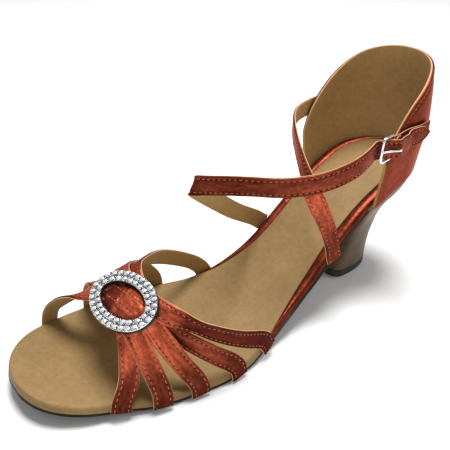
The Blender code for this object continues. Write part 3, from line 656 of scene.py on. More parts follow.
class Bits:
    """Many small closed shapes, joined into one mesh."""

    def __init__(self):
        self.verts, self.faces, self.which = [], [], []

    def face(self, corners, look=0):
        self.faces.append(tuple(corners))
        self.which.append(look)

    def add(self, rows):
        """Lofts rows of equally many points, and closes the two ends."""
        start, wide = len(self.verts), len(rows[0])
        self.verts += [p for row in rows for p in row]
        for corners in side_faces(start, len(rows), wide):
            self.face(corners)
        self.face(reversed(range(start, start + wide)))
        self.face(range(len(self.verts) - wide, len(self.verts)))

    def piece(self, name, looks, sharp=50):
        return finish_mesh(name, self.verts, self.faces, self.which, looks, sharp)


def dress(piece, slot, *nodes):
    """The piece rides with the shoe and stands for some solids; its slot is not used."""
    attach(piece, "root")
    if nodes:
        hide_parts(*nodes)


# Straps: a rail carries the section and the stitches
Station = namedtuple("Station", "at point side normal")

# Half of a strap's section, from inside the stitch row over the edge to the underside, in
# millimetres. inward is from the edge, down from the top, seam the share of the groove.
STRAP_EDGE = table(
    "inward down seam look",
    (2.40, -0.04, 0.0, 0), (1.75, 0.00, 0.2, 0), (1.50, 0.00, 0.8, 0), (1.35, 0.00, 1.0, 0),
    (1.20, 0.00, 0.8, 0), (0.95, 0.00, 0.2, 0), (0.50, 0.00, 0.0, 0), (0.20, 0.10, 0.0, 0),
    (0.05, 0.28, 0.0, 0), (0.00, 0.55, 0.0, 0), (0.06, 0.72, 0.0, 1), (-0.12, 0.76, 0.0, 1),
    (-0.18, 0.94, 0.0, 1), (-0.08, 1.12, 0.0, 2), (0.35, 1.30, 0.0, 2), (2.00, 1.30, 0.0, 2),
)
STITCH_INSET = 1.35 * MM
STITCH_PITCH = 2.35 * MM
STITCH_LENGTH = 1.45 * MM
THREAD_RADIUS = 0.15 * MM
GROOVE = 0.14 * MM
HOLE_DEPTH = 0.20 * MM
HOLE_WIDE = 0.33 * MM
CROWN = 0.06 * MM
WAVE = 0.10 * MM
PUCKER = 0.05 * MM
END_SHADE_START = 9 * MM
END_SHADE_END = 28 * MM
RAIL_STEP = STITCH_PITCH / 6
RAIL_FINE = 8

# A stitch from end to end, as shares: place, rise over the groove in millimetres, thickness
HALF_STITCH = ((-1, -0.10, 0.3), (-0.75, 0.06, 0.85), (-0.3, 0.15, 1.0))
STITCH = HALF_STITCH + tuple((-t, lift, thin) for t, lift, thin in HALF_STITCH[::-1])

# The way on the satin that faces the light, and the darkest painted shade that the satin falls to
PAINTED_LIGHT_WAY = Vector((0.46, -0.22, 0.86)).normalized()
LEAST_PAINTED_LIGHT = 0.15


def make_rail(line, ways, out=None):
    """Dense, even stations along a strap, through the sections of its solid."""
    last = len(line) - 1
    centres, sides, normals = [], [], []
    for i, at in enumerate(line):
        along = (line[min(i + 1, last)] - line[max(i - 1, 0)]).normalized()
        side = (ways[i] - ways[i].project(along)).normalized()
        sides.append(side)
        normals.append(along.cross(side))
        centres.append(at + normals[-1] * (out[i] if out else 0.0))
    lengths = running(dense_spline(centres, RAIL_FINE))
    count = round(lengths[-1] / RAIL_STEP) + 1
    rail = []
    for n, (j, s) in enumerate(even_places(lengths, count)):
        i = min(int((j + s) / RAIL_FINE), last - 1)
        share = (j + s) / RAIL_FINE - i
        side = spline(sides, i, share).normalized()
        normal = spline(normals, i, share)
        normal = (normal - normal.project(side)).normalized()
        at = lengths[-1] * n / (count - 1)
        rail.append(Station(at, spline(centres, i, share), side, normal))
    return rail


def station_on(rail, at):
    """The station at a distance along a rail."""
    span = rail[1].at - rail[0].at
    i = min(max(int(at / span), 0), len(rail) - 2)
    ways = (a.lerp(b, at / span - i) for a, b in zip(rail[i][1:], rail[i + 1][1:]))
    return Station(at, *ways)


def hole_share(at):
    """How near a place along a seam is to a needle hole between two stitches."""
    off = (at / STITCH_PITCH + 0.5) % 1.0 - 0.5
    return dip(off * STITCH_PITCH, HOLE_WIDE)


def painted_light_facing(normal):
    """Painted light on satin by its way: full towards the light, painted wine-dark shade where it
    turns off.
    """
    return LEAST_PAINTED_LIGHT + (1.0 - LEAST_PAINTED_LIGHT) * eased(normal.dot(PAINTED_LIGHT_WAY), 0.42, 0.96)


def strap(bits, name, node, rail, looks, width_at, thick, seed, end_shade=0.0, gloss=1.0, **seam):
    """A sewn strap: satin top, the lining's cut edge, and the lining under it.

    gloss is how much painted light the satin takes, and end_shade how much painted shade darkens
    its two ends. Its stitches go to the bits, and seam says where they start and end.
    """
    rows, tones = [], []
    for s in rail:
        half, hole = width_at(s.at) / 2, hole_share(s.at)
        wave = noise.noise(Vector((s.at * 170, seed, 0))) * WAVE
        # Painted light by the way the satin faces, with painted shade darkening both ends
        ends = eased(min(s.at, rail[-1].at - s.at), END_SHADE_START, END_SHADE_END)
        lit = gloss * painted_light_facing(s.normal) * (1.0 - end_shade * (1.0 - ends))
        rows.append([s.point + s.normal * (thick / 2 + CROWN + wave)])
        tones.append(lit)
        for sign in (1, -1):
            flank, shade = [], []
            pucker = noise.noise(Vector((s.at * 420, seed + sign * 7, 3))) * PUCKER
            for edge in STRAP_EDGE:
                reach = half - min(edge.inward * MM, half * 0.9) + pucker
                drop = edge.down * MM * thick / STRAP_THICK
                drop += edge.seam * (GROOVE + HOLE_DEPTH * hole)
                rise = thick / 2 - drop + (0.0 if edge.look else wave)
                flank.append(s.point + s.side * reach * sign + s.normal * rise)
                # Painted shade on the turned edge, and deeper painted shade in the groove and
                # needle holes
                flat = 1.0 if edge.inward > 0.1 else 0.75
                shade.append(lit * flat * (1.0 - edge.seam * (0.85 * hole + 0.10)))
            rows[-1] += flank[::sign]
            tones += shade[::sign]
    half_strips = [edge.look for edge in STRAP_EDGE]
    strips = [0] + half_strips + half_strips[-2::-1] + [0]
    dress(surface(name, rows, looks, strips, tones=tones), "copper_satin", node)
    sew_edges(bits, rail, width_at, thick, **seam)


def sew(bits, rail, across_at, start, end, rise):
    """A row of stitches along a rail, each a short arched thread."""
    for k in range(int(start / STITCH_PITCH), int(end / STITCH_PITCH)):
        middle = (k + 0.5) * STITCH_PITCH
        across = across_at(middle)
        if across is None:
            continue
        rows = []
        for t, lift, thin in STITCH:
            s = station_on(rail, middle + t * STITCH_LENGTH / 2)
            centre = s.point + s.side * across + s.normal * (rise + lift * MM)
            radius = THREAD_RADIUS * thin
            rows.append(ring_at(centre, s.side * radius, s.normal * 0.75 * radius, 6, 0.5))
        bits.add(rows)


def sew_edges(bits, rail, width_at, thick, start=0.0, end=None):
    """Stitches along both edges of a strap, where it is wide enough."""
    for sign in (1.0, -1.0):

        def across_at(at):
            half = width_at(at) / 2
            return sign * (half - STITCH_INSET) if half > 1.6 * STITCH_INSET else None

        sew(bits, rail, across_at, start, end or rail[-1].at, thick / 2 - GROOVE)


def slide_point(side, run, drop):
    """A point below the slide's plane, which rises towards the heel."""
    rise = math.tan(SLIDE_TILT) * (run - SLIDE_RUN)
    return place(side, run, SLIDE_HEIGHT + rise) + SLIDE_DOWN * drop


def between(rows, number):
    """The row of a table, or one between two of them, for a whole or broken number."""
    low = min(int(number), len(rows) - 2)
    pairs = zip(rows[low], rows[low + 1])
    return type(rows[0])(*(a + (b - a) * (number - low) for a, b in pairs))


def band_side(way, outer):
    """Points of one side of a band, from its shoulder down to its end."""
    run = way.foot * LENGTH
    foot = edge_point(run, outer, EDGE_OUT, -FOOT_LEAD)
    top = slide_point(way.shoulder_side * BALL_WIDTH, way.shoulder_run * LENGTH, BAND_DROP)
    points = []
    for i in range(BAND_STEPS + 1):
        angle = math.pi / 2 * i / BAND_STEPS
        level = math.sin(angle) ** (2.0 / way.full)
        fall = math.cos(angle) ** (2.0 / way.full)
        at = top.lerp(foot, level)
        at.x += way.bow * BALL_WIDTH * math.sin(math.pi * level)
        at.z = foot.z + (top.z - foot.z) * fall
        points.append(at)
    return points + [edge_point(run, outer, EDGE_OUT, BOARD_BOTTOM)]


def band_line(number):
    """The middle line of a band from its inner end over the throat to its outer end."""
    middle = slide_point(SLIDE_SIDE, between(MIDDLE, number).run * LENGTH, BAND_DROP)
    inner = band_side(between(INNER, number), False)
    outer = band_side(between(OUTER, number), True)
    line = inner[::-1] + [middle] + outer
    return resampled(relaxed(resampled(line, BAND_POINTS), BAND_PASSES), BAND_SECTIONS)


def band_rail(number):
    """The stations of a band, which sinks in the stack under the slide."""
    line = band_line(number)
    near = 0.1 if number < len(MIDDLE) - 1 else -0.1
    other = band_line(number + near)
    widths = relaxed([((b - a) / near).normalized() for a, b in zip(line, other)], 3)
    mid = (BAND_SECTIONS - 1) / 2
    out = []
    for i, way in enumerate(widths):
        away, outer = abs(i - mid) / mid, i > mid
        side = (OUTER if outer else INNER)[number]
        foot = side.foot * LENGTH
        rim = edge_point(foot + STRAP_WIDTH / 4, outer, 0, 0) - edge_point(foot, outer, 0, 0)
        settled = min(1.0, max(0.0, (away - 0.7) / 0.25))
        turned = min(1.0, max(0.0, (away - 0.32) / 0.63))
        way = way.lerp(SLIDE_WAY, max(0.0, 1.0 - (away / 0.42) ** 2))
        way = way.lerp(rim.normalized(), settled)
        widths[i] = way + UP * side.lift * math.sin(math.pi * turned)
        out.append(-MIDDLE[number].layer * STACK_STEP * (1.0 - eased(away, 0.0, 0.62)))
    return make_rail(line, widths, out)


# Painted light on each band, and how much painted shade darkens the band ends
BAND_PAINTED_LIGHT = (1.0, 1.0, 1.08, 0.95, 0.62)
BAND_END_SHADE = 0.78


def make_bands(looks, thread):
    """The five vamp bands with their two rows of stitches each."""
    bits = Bits()
    for number, gloss in enumerate(BAND_PAINTED_LIGHT):
        strap(bits, "vamp_band_%d" % (number + 1), "vamp_straps", band_rail(number), looks,
              lambda at: STRAP_WIDTH, STRAP_THICK, number, BAND_END_SHADE, gloss)
    dress(bits.piece("vamp_stitches", [thread]), "thread")


# The layers under the foot
WRAP_START = 0.476 * LENGTH
WRAP_END = 0.492 * LENGTH
WRAP_OUT = 0.30 * MM
WRAP_DEPTH = SOLE_TOP - 0.25 * MM
FRONT_EASE = 2.2 * MM
BACK_EASE = 0.5 * MM
SOCK_LIP = 2.0 * MM
HOLLOWS = 0.10 * MM
BACK_STOP = LENGTH - END_STOP
SOCK_ROWS = 190
LAYER_ROWS = 150


def bed_row(run, section):
    """Points of a section across the bed, from its (side, depth) pairs."""
    return [bed_point(run, plan_centre(run) + x, depth) for x, depth in section]


def mirrored(section):
    return [(-x, depth) for x, depth in section[::-1]]


def make_sock(tan):
    """The tan sock, rolled over the edge at the forefoot and set into a border behind it."""
    rows = []
    for run in bed_runs(END_STOP, BACK_STOP, SOCK_ROWS):
        back = eased(run, WRAP_START, WRAP_END)
        half = plan_half(run) + WRAP_OUT * (1 - back) - (sock_setback(run) + 0.1 * MM) * back
        half = max(half, 2 * GAP)
        depth = WRAP_DEPTH + (SOCK_THICK - WRAP_DEPTH) * back
        ease = min(FRONT_EASE + (BACK_EASE - FRONT_EASE) * back, half * 0.6)
        lip = min(SOCK_LIP, 0.6 * depth)
        section = [(0.0, 0.0)]
        section += [((half - ease) * share, 0.0) for share in (0.2, 0.4, 0.6, 0.75, 0.9)]
        for q in range(5, -1, -1):
            c, s = math.cos(math.pi / 10 * q), math.sin(math.pi / 10 * q)
            section.append((half - ease * (1 - c), lip * (1 - s)))
        section += [(half - 0.02 * MM, (lip + depth) / 2), (half - 0.25 * MM, depth)]
        section += mirrored(section[1:])
        row = bed_row(run, section)
        for at, (_, down) in zip(row, section):
            if down < lip:
                at.z += noise.noise(Vector((at.x * 55, at.y * 55, 1.0))) * HOLLOWS
        rows.append(row)
    dress(surface("tan_sock", rows, [tan], sharp=70), "tan_lining", "sock")


# Painted shade across the binding's section: a lighter line along its top, darker down its side
BINDING_PAINTED_SHADE = [0.12, 0.2, 0.27, 0.25, 0.19, 0.16, 0.13, 0.11, 0.1, 0.1, 0.1]


def make_binding(satin):
    """The satin-bound edge of the board from the waist back round the heel."""
    rows = []
    for run in bed_runs(WRAP_START, BACK_STOP, LAYER_ROWS):
        setback = sock_setback(run)
        half = max(plan_half(run), 6 * GAP)
        high = 0.45 * MM * eased(run, WRAP_START, WRAP_END + 0.01 * LENGTH)
        section = [
            (setback + 0.6 * MM, BOARD_TOP),
            (setback, BOARD_TOP - 0.25 * MM),
            (setback * 0.86, 0.42 * MM),
            (setback * 0.62, 0.30 * MM - high),
            (setback * 0.42, 0.36 * MM - high),
            (setback * 0.20, 0.62 * MM - high),
            (0.12 * MM, 1.05 * MM - high * 0.6),
            (0.0, 1.55 * MM),
            (-0.03 * MM, 2.2 * MM),
            (0.10 * MM, BOARD_BOTTOM - 0.15 * MM),
            (0.45 * MM, BOARD_BOTTOM),
        ]
        section = [(max(half - inward, 0.3 * MM), depth) for inward, depth in section]
        rows.append(bed_row(run, section + mirrored(section)))
    tones = (BINDING_PAINTED_SHADE + BINDING_PAINTED_SHADE[::-1]) * len(rows)
    piece = surface("satin_binding", rows, [satin], sharp=70, tones=tones)
    dress(piece, "copper_satin", "insole_board")


def make_outsole(suede):
    """The thin suede sole from the toe to the breast of the heel."""
    rows, tones = [], []
    for run in bed_runs(END_STOP + 0.25 * MM, HEEL_FRONT - BREAST_CLEAR, LAYER_ROWS):
        half = max(plan_half(run) + 0.15 * MM, 2 * GAP)
        ease = min(0.35 * MM, 0.4 * half)
        section = [(half * share, SOLE_TOP) for share in (0.0, 0.4, 0.75)]
        section += [(half - ease, SOLE_TOP), (half, SOLE_TOP + 0.25 * MM)]
        section += [(half, SOLE_BOTTOM - 0.3 * MM), (half - ease, SOLE_BOTTOM)]
        section += [(half * share, SOLE_BOTTOM) for share in (0.75, 0.4)]
        section += [(0.0, SOLE_BOTTOM)] + mirrored(section[1:])
        rows.append(bed_row(run, section))
        tones += [0.1 if abs(x) > half - ease / 2 else 1.0 for x, _ in section]
    piece = surface("suede_sole", rows, [suede], sharp=50, tones=tones)
    dress(piece, "grey_suede", "outsole")


# The heel
HEEL_POINTS = 96
HEEL_ROWS = 44
TIP_ROWS = ((0.0, 0.05), (0.12, 0.015), (0.35, 0.0), (0.62, 0.0), (0.66, 0.012), (0.70, 0.0),
            (0.97, 0.0), (1.0, 0.02))


def heel_outline(level, half):
    """A level outline of the heel: square at the breast and round at the back."""
    front, back = level.front * LENGTH, level.back * LENGTH
    split = front + FRONT_SHARE * (back - front)
    points = []
    for c, s in circle(HEEL_POINTS, 0.5):
        power, depth = (4.5, split - front) if c < 0 else (2.15, back - split)
        reach = (abs(s) ** power + abs(c) ** power) ** (-1.0 / power)
        points.append((plan_centre(HEEL_MIDDLE) + half * s * reach, split + depth * c * reach))
    return points


def heel_section(level, bottom):
    """One section between the sloping seat and the flat bottom."""
    seat_half = plan_half(HEEL_MIDDLE) + SEAT_MARGIN
    seat = heel_outline(HEEL[0], seat_half)
    loop = []
    for (_, seat_run), (side, run) in zip(seat, heel_outline(level, seat_half * level.half)):
        slope = bed_slope(min(seat_run, 0.985 * LENGTH))
        seat_top = bed_height(seat_run) - SEAT_DEPTH / math.cos(slope)
        loop.append(place(side, run, seat_top + (bottom - seat_top) * level.drop))
    return loop


def make_heel(cover, rubber):
    """The flared, covered heel and the rubber top piece under it."""
    rows = []
    for drop in (i / (HEEL_ROWS - 1) for i in range(HEEL_ROWS)):
        sizes = {c: read_table(HEEL, drop, c) for c in ("front", "back", "half")}
        rows.append(heel_section(HEEL[0]._replace(drop=drop, **sizes), TIP_THICK + GAP))
    dress(surface("covered_heel", rows, [cover], sharp=55), "heel_cover", "heel")
    foot = [Vector((p.x, p.y, 0.0)) for p in heel_section(HEEL[-1], 0.0)]
    middle = sum(foot, Vector()) / len(foot)
    rows = [[p.lerp(middle, tuck) + UP * height * TIP_THICK for p in foot]
            for height, tuck in TIP_ROWS]
    dress(surface("rubber_top_piece", rows, [rubber], sharp=40), "tip_rubber", "heel_tip")


# The counter
COUNTER_STATIONS = 120
COUNTER_HALF = 80
COUNTER_ROWS = 15
SEAM_ROW = 24
RIM_SEAM = 2.3 * MM
BACK_SEAM = 0.28 * MM
THIN_END = 0.72
THIN_STATIONS = 6


def counter_frame(count):
    """Even stations round the counter: (run, level point, level way out)."""
    turns = [math.sin(math.pi / 2 * i / COUNTER_HALF) for i in range(COUNTER_HALF + 1)]
    runs = [COUNTER_FRONT + (BACK_STOP - COUNTER_FRONT) * turn for turn in turns]
    dense = [Vector((edge_side(run, -1.0), run, 0.0)) for run in runs]
    dense += [Vector((edge_side(run, 1.0), run, 0.0)) for run in runs[::-1]]
    even = resampled(relaxed(dense, 6), count)
    stations = []
    for i, p in enumerate(even):
        along = (even[min(i + 1, count - 1)] - even[max(i - 1, 0)]).normalized()
        stations.append((p.y, p, Vector((-along.y, along.x, 0.0))))
    return stations


def counter_point(station, height, out):
    """A point of the counter's wall, at a height over its lower edge."""
    run, level, way = station
    stand = GAP + read_table(FLARE, height / COUNTER_HEIGHT, "out") * COUNTER_WALL + out
    base = bed_height(min(run, LENGTH)) - BOARD_BOTTOM + GAP
    at = level + way * stand
    return place(at.x, at.y, base + height)


def counter_rim(station):
    return COUNTER_HEIGHT * read_table(RIM, station[0] / LENGTH, "height")


def make_counter(looks, thread):
    """The heel cup: satin outside, tan inside, with a stitched rim and a back seam."""
    stations = counter_frame(COUNTER_STATIONS)
    heights = [i / COUNTER_ROWS for i in range(COUNTER_ROWS)]
    rows, tones = [], []
    for i, station in enumerate(stations):
        rim = counter_rim(station)
        top, seam, lower = rim - 0.8 * MM, rim - RIM_SEAM, rim - RIM_SEAM - 0.8 * MM
        ends = eased(min(i, COUNTER_STATIONS - 1 - i), 0, THIN_STATIONS)
        wall = COUNTER_WALL * (THIN_END + (1.0 - THIN_END) * ends)
        back = dip(i - (COUNTER_STATIONS - 1) / 2, 0.9) * BACK_SEAM
        section = [(top * s, 0.0) for s in heights] + [
            (top, 0.0), (rim - 0.25 * MM, 0.10 * MM), (rim, 0.40 * MM), (rim, 0.72 * MM),
            (rim - 0.12 * MM, 0.85 * MM), (rim - 0.10 * MM, wall * 0.68),
            (rim - 0.35 * MM, wall * 0.92), (top, wall), (seam + 0.4 * MM, wall),
            (seam, wall - GROOVE), (seam - 0.4 * MM, wall),
        ] + [(lower * s, wall - back) for s in heights[::-1]]
        rows.append([counter_point(station, height, out) for height, out in section])
        # Painted shade over the whole cup, lighter on its outer side where the light falls, and
        # darker in the back seam
        lit = 0.12 + 0.07 * eased(station[2].x, -0.2, 1.0)
        tones += [lit] * (SEAM_ROW + 1)
        tones += [lit * (1.0 - 1.6 * back / MM)] * (len(section) - SEAM_ROW - 1)
    strips = [2] * (COUNTER_ROWS + 1) + [1] * 3
    strips += [0] * (len(section) - len(strips) - 1) + [2]
    cup = surface("counter_cup", rows, looks, strips, tones=tones)
    dress(cup, "copper_satin", "counter")
    line = [counter_point(s, counter_rim(s) - RIM_SEAM, COUNTER_WALL) for s in stations[3:-3]]
    rail = make_rail(line, [-UP] * len(line))
    if rail[0].normal.dot(stations[3][2]) < 0:
        rail = [s._replace(normal=-s.normal) for s in rail]
    bits = Bits()
    sew(bits, rail, lambda at: 0.0, 0.0, rail[-1].at, -GROOVE)
    dress(bits.piece("counter_stitches", [thread]), "thread")


# Ankle straps, buckle and tab
NEAR_STATIONS = 34
INNER_SECTIONS = 64
OUTER_SECTIONS = 40
ROUTE_STEPS = 8
TAPER_SHARE = 3 / (INNER_SECTIONS - 1)
TIP_SHARE = 0.16
TIP_POWER = 2.4
TIP_BARE = 4 * MM
HOLE_PLACES = (8.5 * MM, 14.0 * MM, 19.5 * MM, 39.0 * MM, 44.5 * MM)
HOLE_RINGS = ((0.10, -0.09), (0.55, -0.07), (0.72, -0.01), (0.86, 0.01), (0.95, -0.08))


def buckle_point(along, up, out):
    """A point beside the buckle's middle: along the strap, across it, and outwards."""
    at = place(BUCKLE_SIDE, BUCKLE_RUN, BUCKLE_HEIGHT)
    return at + BUCKLE_ALONG * along + BUCKLE_UP * up + BUCKLE_OUT * out


def buckle_line(*places):
    """Points along the buckle's middle: shares of half its length, with their ways out."""
    return [buckle_point(HALF_BUCKLE * share, 0.0, out) for share, out in places]


def on_counter(shares, outer, height, lie):
    """Points beside the counter's outside, at a height over the floor."""
    stations = counter_frame(NEAR_STATIONS)
    half = NEAR_STATIONS // 2
    side = stations[half:] if outer else stations[:half]
    points = []
    for share in shares:
        station = min(side, key=lambda s: abs(s[0] - share * LENGTH))
        base = bed_height(station[0]) - BOARD_BOTTOM
        points.append(counter_point(station, height - base, COUNTER_WALL + lie))
    return points


def route_line(rows, root, lean, outer):
    """Points and width directions of a strap that starts flat on the footbed's side."""
    run, lean = root * LENGTH, lean * LENGTH
    along = (bed_point(run + SMALL_STEP, 0, 0) - bed_point(run, 0, 0)).normalized()
    points = [edge_point(run + lean, outer, EDGE_OUT + GAP, BOARD_BOTTOM)]
    points.append(edge_point(run - lean, outer, EDGE_OUT + GAP, -FOOT_LEAD / 2))
    points += [place(r.side * BALL_WIDTH, r.run * LENGTH, r.height * HEEL_RISE) for r in rows]
    ways = [along, along] + [Vector((r.across, r.along, r.up)).normalized() for r in rows]
    return points, ways


def smooth_rail(points, widths, count):
    """The rail through chosen points, with the width direction carried along."""
    shares = [k / ROUTE_STEPS for k in range(ROUTE_STEPS)]
    ways = [a.lerp(b, share) for a, b in zip(widths, widths[1:]) for share in shares]
    line, ways = relaxed(dense_spline(points, ROUTE_STEPS), 4), relaxed(ways + [widths[-1]], 8)
    places = even_places(running(line), count)
    return make_rail(at_places(line, places), [w.normalized() for w in at_places(ways, places)])


def make_ankle_straps(looks, thread, dark):
    """The inner strap, buckled on the outer ankle, and the outer one, sewn across."""
    lie = 3 * GAP + STRAP_HALF
    over_tab = TAB_LIE + TAB_THICK / 2 + lie
    points, ways = route_line(INNER_ANKLE, INNER_ROOT, INNER_LEAN, False)
    end = buckle_line(
        (-1.42, STRAP_UNDER - GAP), (-1.0, STRAP_UNDER - GAP),
        (0.0, (STRAP_UNDER + STRAP_OVER) / 2), (1.0, STRAP_OVER + 2 * GAP),
        (1.84, over_tab + GAP), (3.1, over_tab),
    )
    end += on_counter(TAIL_RUNS, True, BUCKLE_HEIGHT - TAIL_DROP, 2 * GAP + TAB_THICK + lie)
    rail = smooth_rail(points + end, ways + [BUCKLE_UP] * len(end), INNER_SECTIONS)
    length = rail[-1].at

    def width_at(at):
        left = min(1.0, max(0.0, (length - at) / (TAPER_SHARE * length)))
        return ANKLE_WIDTH * (1.0 - (1.0 - TIP_SHARE) * (1.0 - left) ** TIP_POWER)

    bits, holes = Bits(), Bits()
    strap(bits, "ankle_strap_long", "ankle_strap_inner", rail, looks, width_at, STRAP_THICK, 11,
          end=length - TIP_BARE)
    for away in HOLE_PLACES:
        punch(holes, station_on(rail, length - away), STRAP_HALF + 0.10 * MM)
    # The holes take the dark rubber as painted shade
    dress(holes.piece("strap_holes", [dark]), "tip_rubber")

    points, ways = route_line(OUTER_ANKLE, OUTER_ROOT, OUTER_LEAN, True)
    end = on_counter(OUTER_END_RUNS, False, BUCKLE_HEIGHT - 2 * TAIL_DROP, lie)
    rail = smooth_rail(points + end, [-w for w in ways + [UP] * len(end)], OUTER_SECTIONS)
    strap(bits, "ankle_strap_short", "ankle_strap_outer", rail, looks, lambda at: ANKLE_WIDTH,
          STRAP_THICK, 12)
    dress(bits.piece("ankle_stitches", [thread]), "thread")


def punch(bits, s, rise):
    """A small punched hole, as a dish of painted shade with a pressed rim."""
    along, rows = s.side.cross(s.normal), []
    for radius, lift in HOLE_RINGS:
        centre = s.point + s.normal * (rise + lift * MM)
        rows.append(ring_at(centre, s.side * radius * MM, along * radius * MM, 14))
    bits.add(rows)


def round_wire(points, radius, ring=False, taper=lambda share: 1.0):
    """Sections of a round wire along points."""
    rows = []
    last = len(points) - 1
    for i, at in enumerate(points):
        ahead = points[(i + 1) % (last + 1)] if ring else points[min(i + 1, last)]
        behind = points[i - 1] if ring or i else points[0]
        along = (ahead - behind).normalized()
        way = BUCKLE_UP if abs(along.dot(BUCKLE_OUT)) > 0.9 else BUCKLE_OUT
        across = (way - way.project(along)).normalized() * radius * taper(i / last)
        rows.append(ring_at(at, across, along.cross(across), 14))
    return rows


def make_buckle(silver):
    """The wire frame, and the prong that goes through the strap."""
    half_up = ANKLE_WIDTH / 2 + 2 * GAP + WIRE_RADIUS
    points = []
    for c, s in circle(96, 0.5):
        reach = (abs(c) ** 6 + abs(s) ** 6) ** (-1 / 6)
        points.append(buckle_point(HALF_BUCKLE * c * reach, half_up * s * reach, 0.0))
    wire = surface("buckle_wire", round_wire(points, WIRE_RADIUS, True), [silver], ring=True)
    dress(wire, "silver_metal", "strap_buckle")
    rise = STRAP_OVER + STRAP_HALF + GAP + PRONG_RADIUS
    chosen = buckle_line(
        (1.0, -WIRE_RADIUS), (1.02, STRAP_OVER * 0.6), (0.87, rise * 0.96), (0.58, rise * 1.04),
        (0.0, rise * 0.66), (-1.0, WIRE_RADIUS * 1.5), (-1.17, WIRE_RADIUS),
    )
    line = relaxed(dense_spline(chosen, 8), 4)
    rows = round_wire(line, PRONG_RADIUS, taper=lambda share: 1.0 - 0.45 * eased(share, 0.85, 1.0))
    dress(surface("buckle_prong", rows, [silver]), "silver_metal")


def make_tab(satin, edge, thread):
    """The folded tab from the counter round the buckle's rear bar."""
    points = buckle_line((2.16, TAB_LIE), (1.6, TAB_LIE + GAP / 2))
    for angle in (math.radians(60 + 30 * i) for i in range(9)):
        along = HALF_BUCKLE + TAB_BEND * math.cos(angle)
        points.append(buckle_point(along, 0.0, TAB_BEND * math.sin(angle)))
    points += buckle_line((1.6, -TAB_LIE - GAP / 2), (2.26, -TAB_LIE))
    points += on_counter(TAB_RUNS, True, BUCKLE_HEIGHT - TAIL_DROP, 2 * GAP + TAB_THICK / 2)
    rail = make_rail(points, [-BUCKLE_UP] * len(points))
    bits = Bits()
    strap(bits, "folded_tab", "buckle_tab", rail, (satin, edge, satin),
          lambda at: ANKLE_WIDTH - 2 * GAP, TAB_THICK, 21, start=12 * MM)
    dress(bits.piece("tab_stitches", [thread]), "thread")


# The jewelled slide. A ring of a stone is (radius, height, turn), all shares.
STONE_RADIUS = 1.30 * MM
STONE_HEIGHT = 0.85 * MM
STONE_ROWS = ((1.33 * MM, 29), (-1.33 * MM, 23))
STONE_RINGS = ((0.52, 1.00, 0.0), (0.84, 0.76, 0.5), (1.0, 0.36, 0.0), (0.98, 0.02, 0.0))
BEAD_RINGS = ((-0.9, 0.44), (-0.3, 0.95), (0.3, 0.95), (0.75, 0.66), (0.97, 0.22))
BEAD_RADIUS = 0.27 * MM
SETTING_TOP = 0.30 * MM
RIM_STEPS = 144
OVAL_STEPS = 720
FACETS = 8


def slide_matrix():
    turn = Euler((SLIDE_TILT, 0.0, SLIDE_TURN), "ZYX").to_matrix().to_4x4()
    return Matrix.Translation(place(SLIDE_SIDE, SLIDE_RUN, SLIDE_HEIGHT)) @ turn


def oval(offset, angle, height=0.0):
    """A point on the rim's middle line, moved outwards and up."""
    long, short = (SLIDE_LENGTH - SLIDE_RIM) / 2, (SLIDE_WIDTH - SLIDE_RIM) / 2
    c, s = math.cos(angle), math.sin(angle)
    out = Vector((short * c, long * s, 0.0)).normalized()
    return Vector((long * c, short * s, height)) + out * offset


def make_setting(silver, dark, wall):
    """The silver rim: two channels for the stones between three raised lips."""
    half, crown = SLIDE_RIM / 2, SLIDE_THICK / 2
    floor, lip = 0.12 * MM, 0.55 * MM
    # Look 1 is painted shade in the channels; look 2 paints the walls and underside near black as
    # painted shadow
    section = (
        (-half, -crown, 2), (-half, 0.35 * MM, 0), (0.12 * MM - half, 0.60 * MM, 0),
        (0.30 * MM - half, lip, 1), (0.42 * MM - half, floor, 1), (-0.25 * MM, floor, 1),
        (-0.10 * MM, 0.50 * MM, 0), (0.10 * MM, 0.50 * MM, 1), (0.25 * MM, floor, 1),
        (half - 0.42 * MM, floor, 1), (half - 0.30 * MM, lip, 0),
        (half - 0.12 * MM, 0.60 * MM, 0), (half, 0.35 * MM, 2), (half, -crown, 2),
    )
    matrix = slide_matrix()
    angles = [2 * math.pi * i / RIM_STEPS for i in range(RIM_STEPS)]
    rows = [[matrix @ oval(offset, angle, height) for offset, height, _ in section]
            for angle in angles]
    strips = [look for _, _, look in section]
    rim = surface("slide_setting", rows, (silver, dark, wall), strips, ring=True, sharp=40)
    dress(rim, "silver_metal", "throat_slide")


def even_angles(offset, count):
    """Angles of stones spaced evenly round an oval, with the full turn at the end."""
    dense = [oval(offset, 2 * math.pi * i / OVAL_STEPS) for i in range(OVAL_STEPS + 1)]
    places = even_places(running(dense), count + 1)
    return [2 * math.pi * (i + share) / OVAL_STEPS for i, share in places]


def add_stone(bits, matrix, at, turn, draw):
    """A round brilliant: flat table, crown facets, girdle, and the cup under it."""
    start = len(bits.verts)
    for radius, height, shift in STONE_RINGS:
        for c, s in circle(FACETS, shift, turn):
            corner = Vector((c, s, 0.0)) * radius * STONE_RADIUS
            bits.verts.append(matrix @ (at + corner + UP * height * STONE_HEIGHT))
    bits.face(range(start, start + FACETS))
    # Painted reflections: the table always bright, the crown mostly bright, the girdle and cup mid
    # and dark
    for level, kinds in enumerate(((0, 0, 0, 1), (0, 1, 1, 2), (1, 2))):
        first = start + level * FACETS
        for q in range(FACETS):
            a, b = first + q, first + (q + 1) % FACETS
            c, d = a + FACETS, b + FACETS
            cuts = (((a, c, b), (b, c, d)), ((a, c, d), (a, d, b)), ((a, c, d, b),))
            for corners in cuts[level]:
                bits.face(corners, draw.choice(kinds))
    bits.face(reversed(range(start + 3 * FACETS, start + 4 * FACETS)), 2)


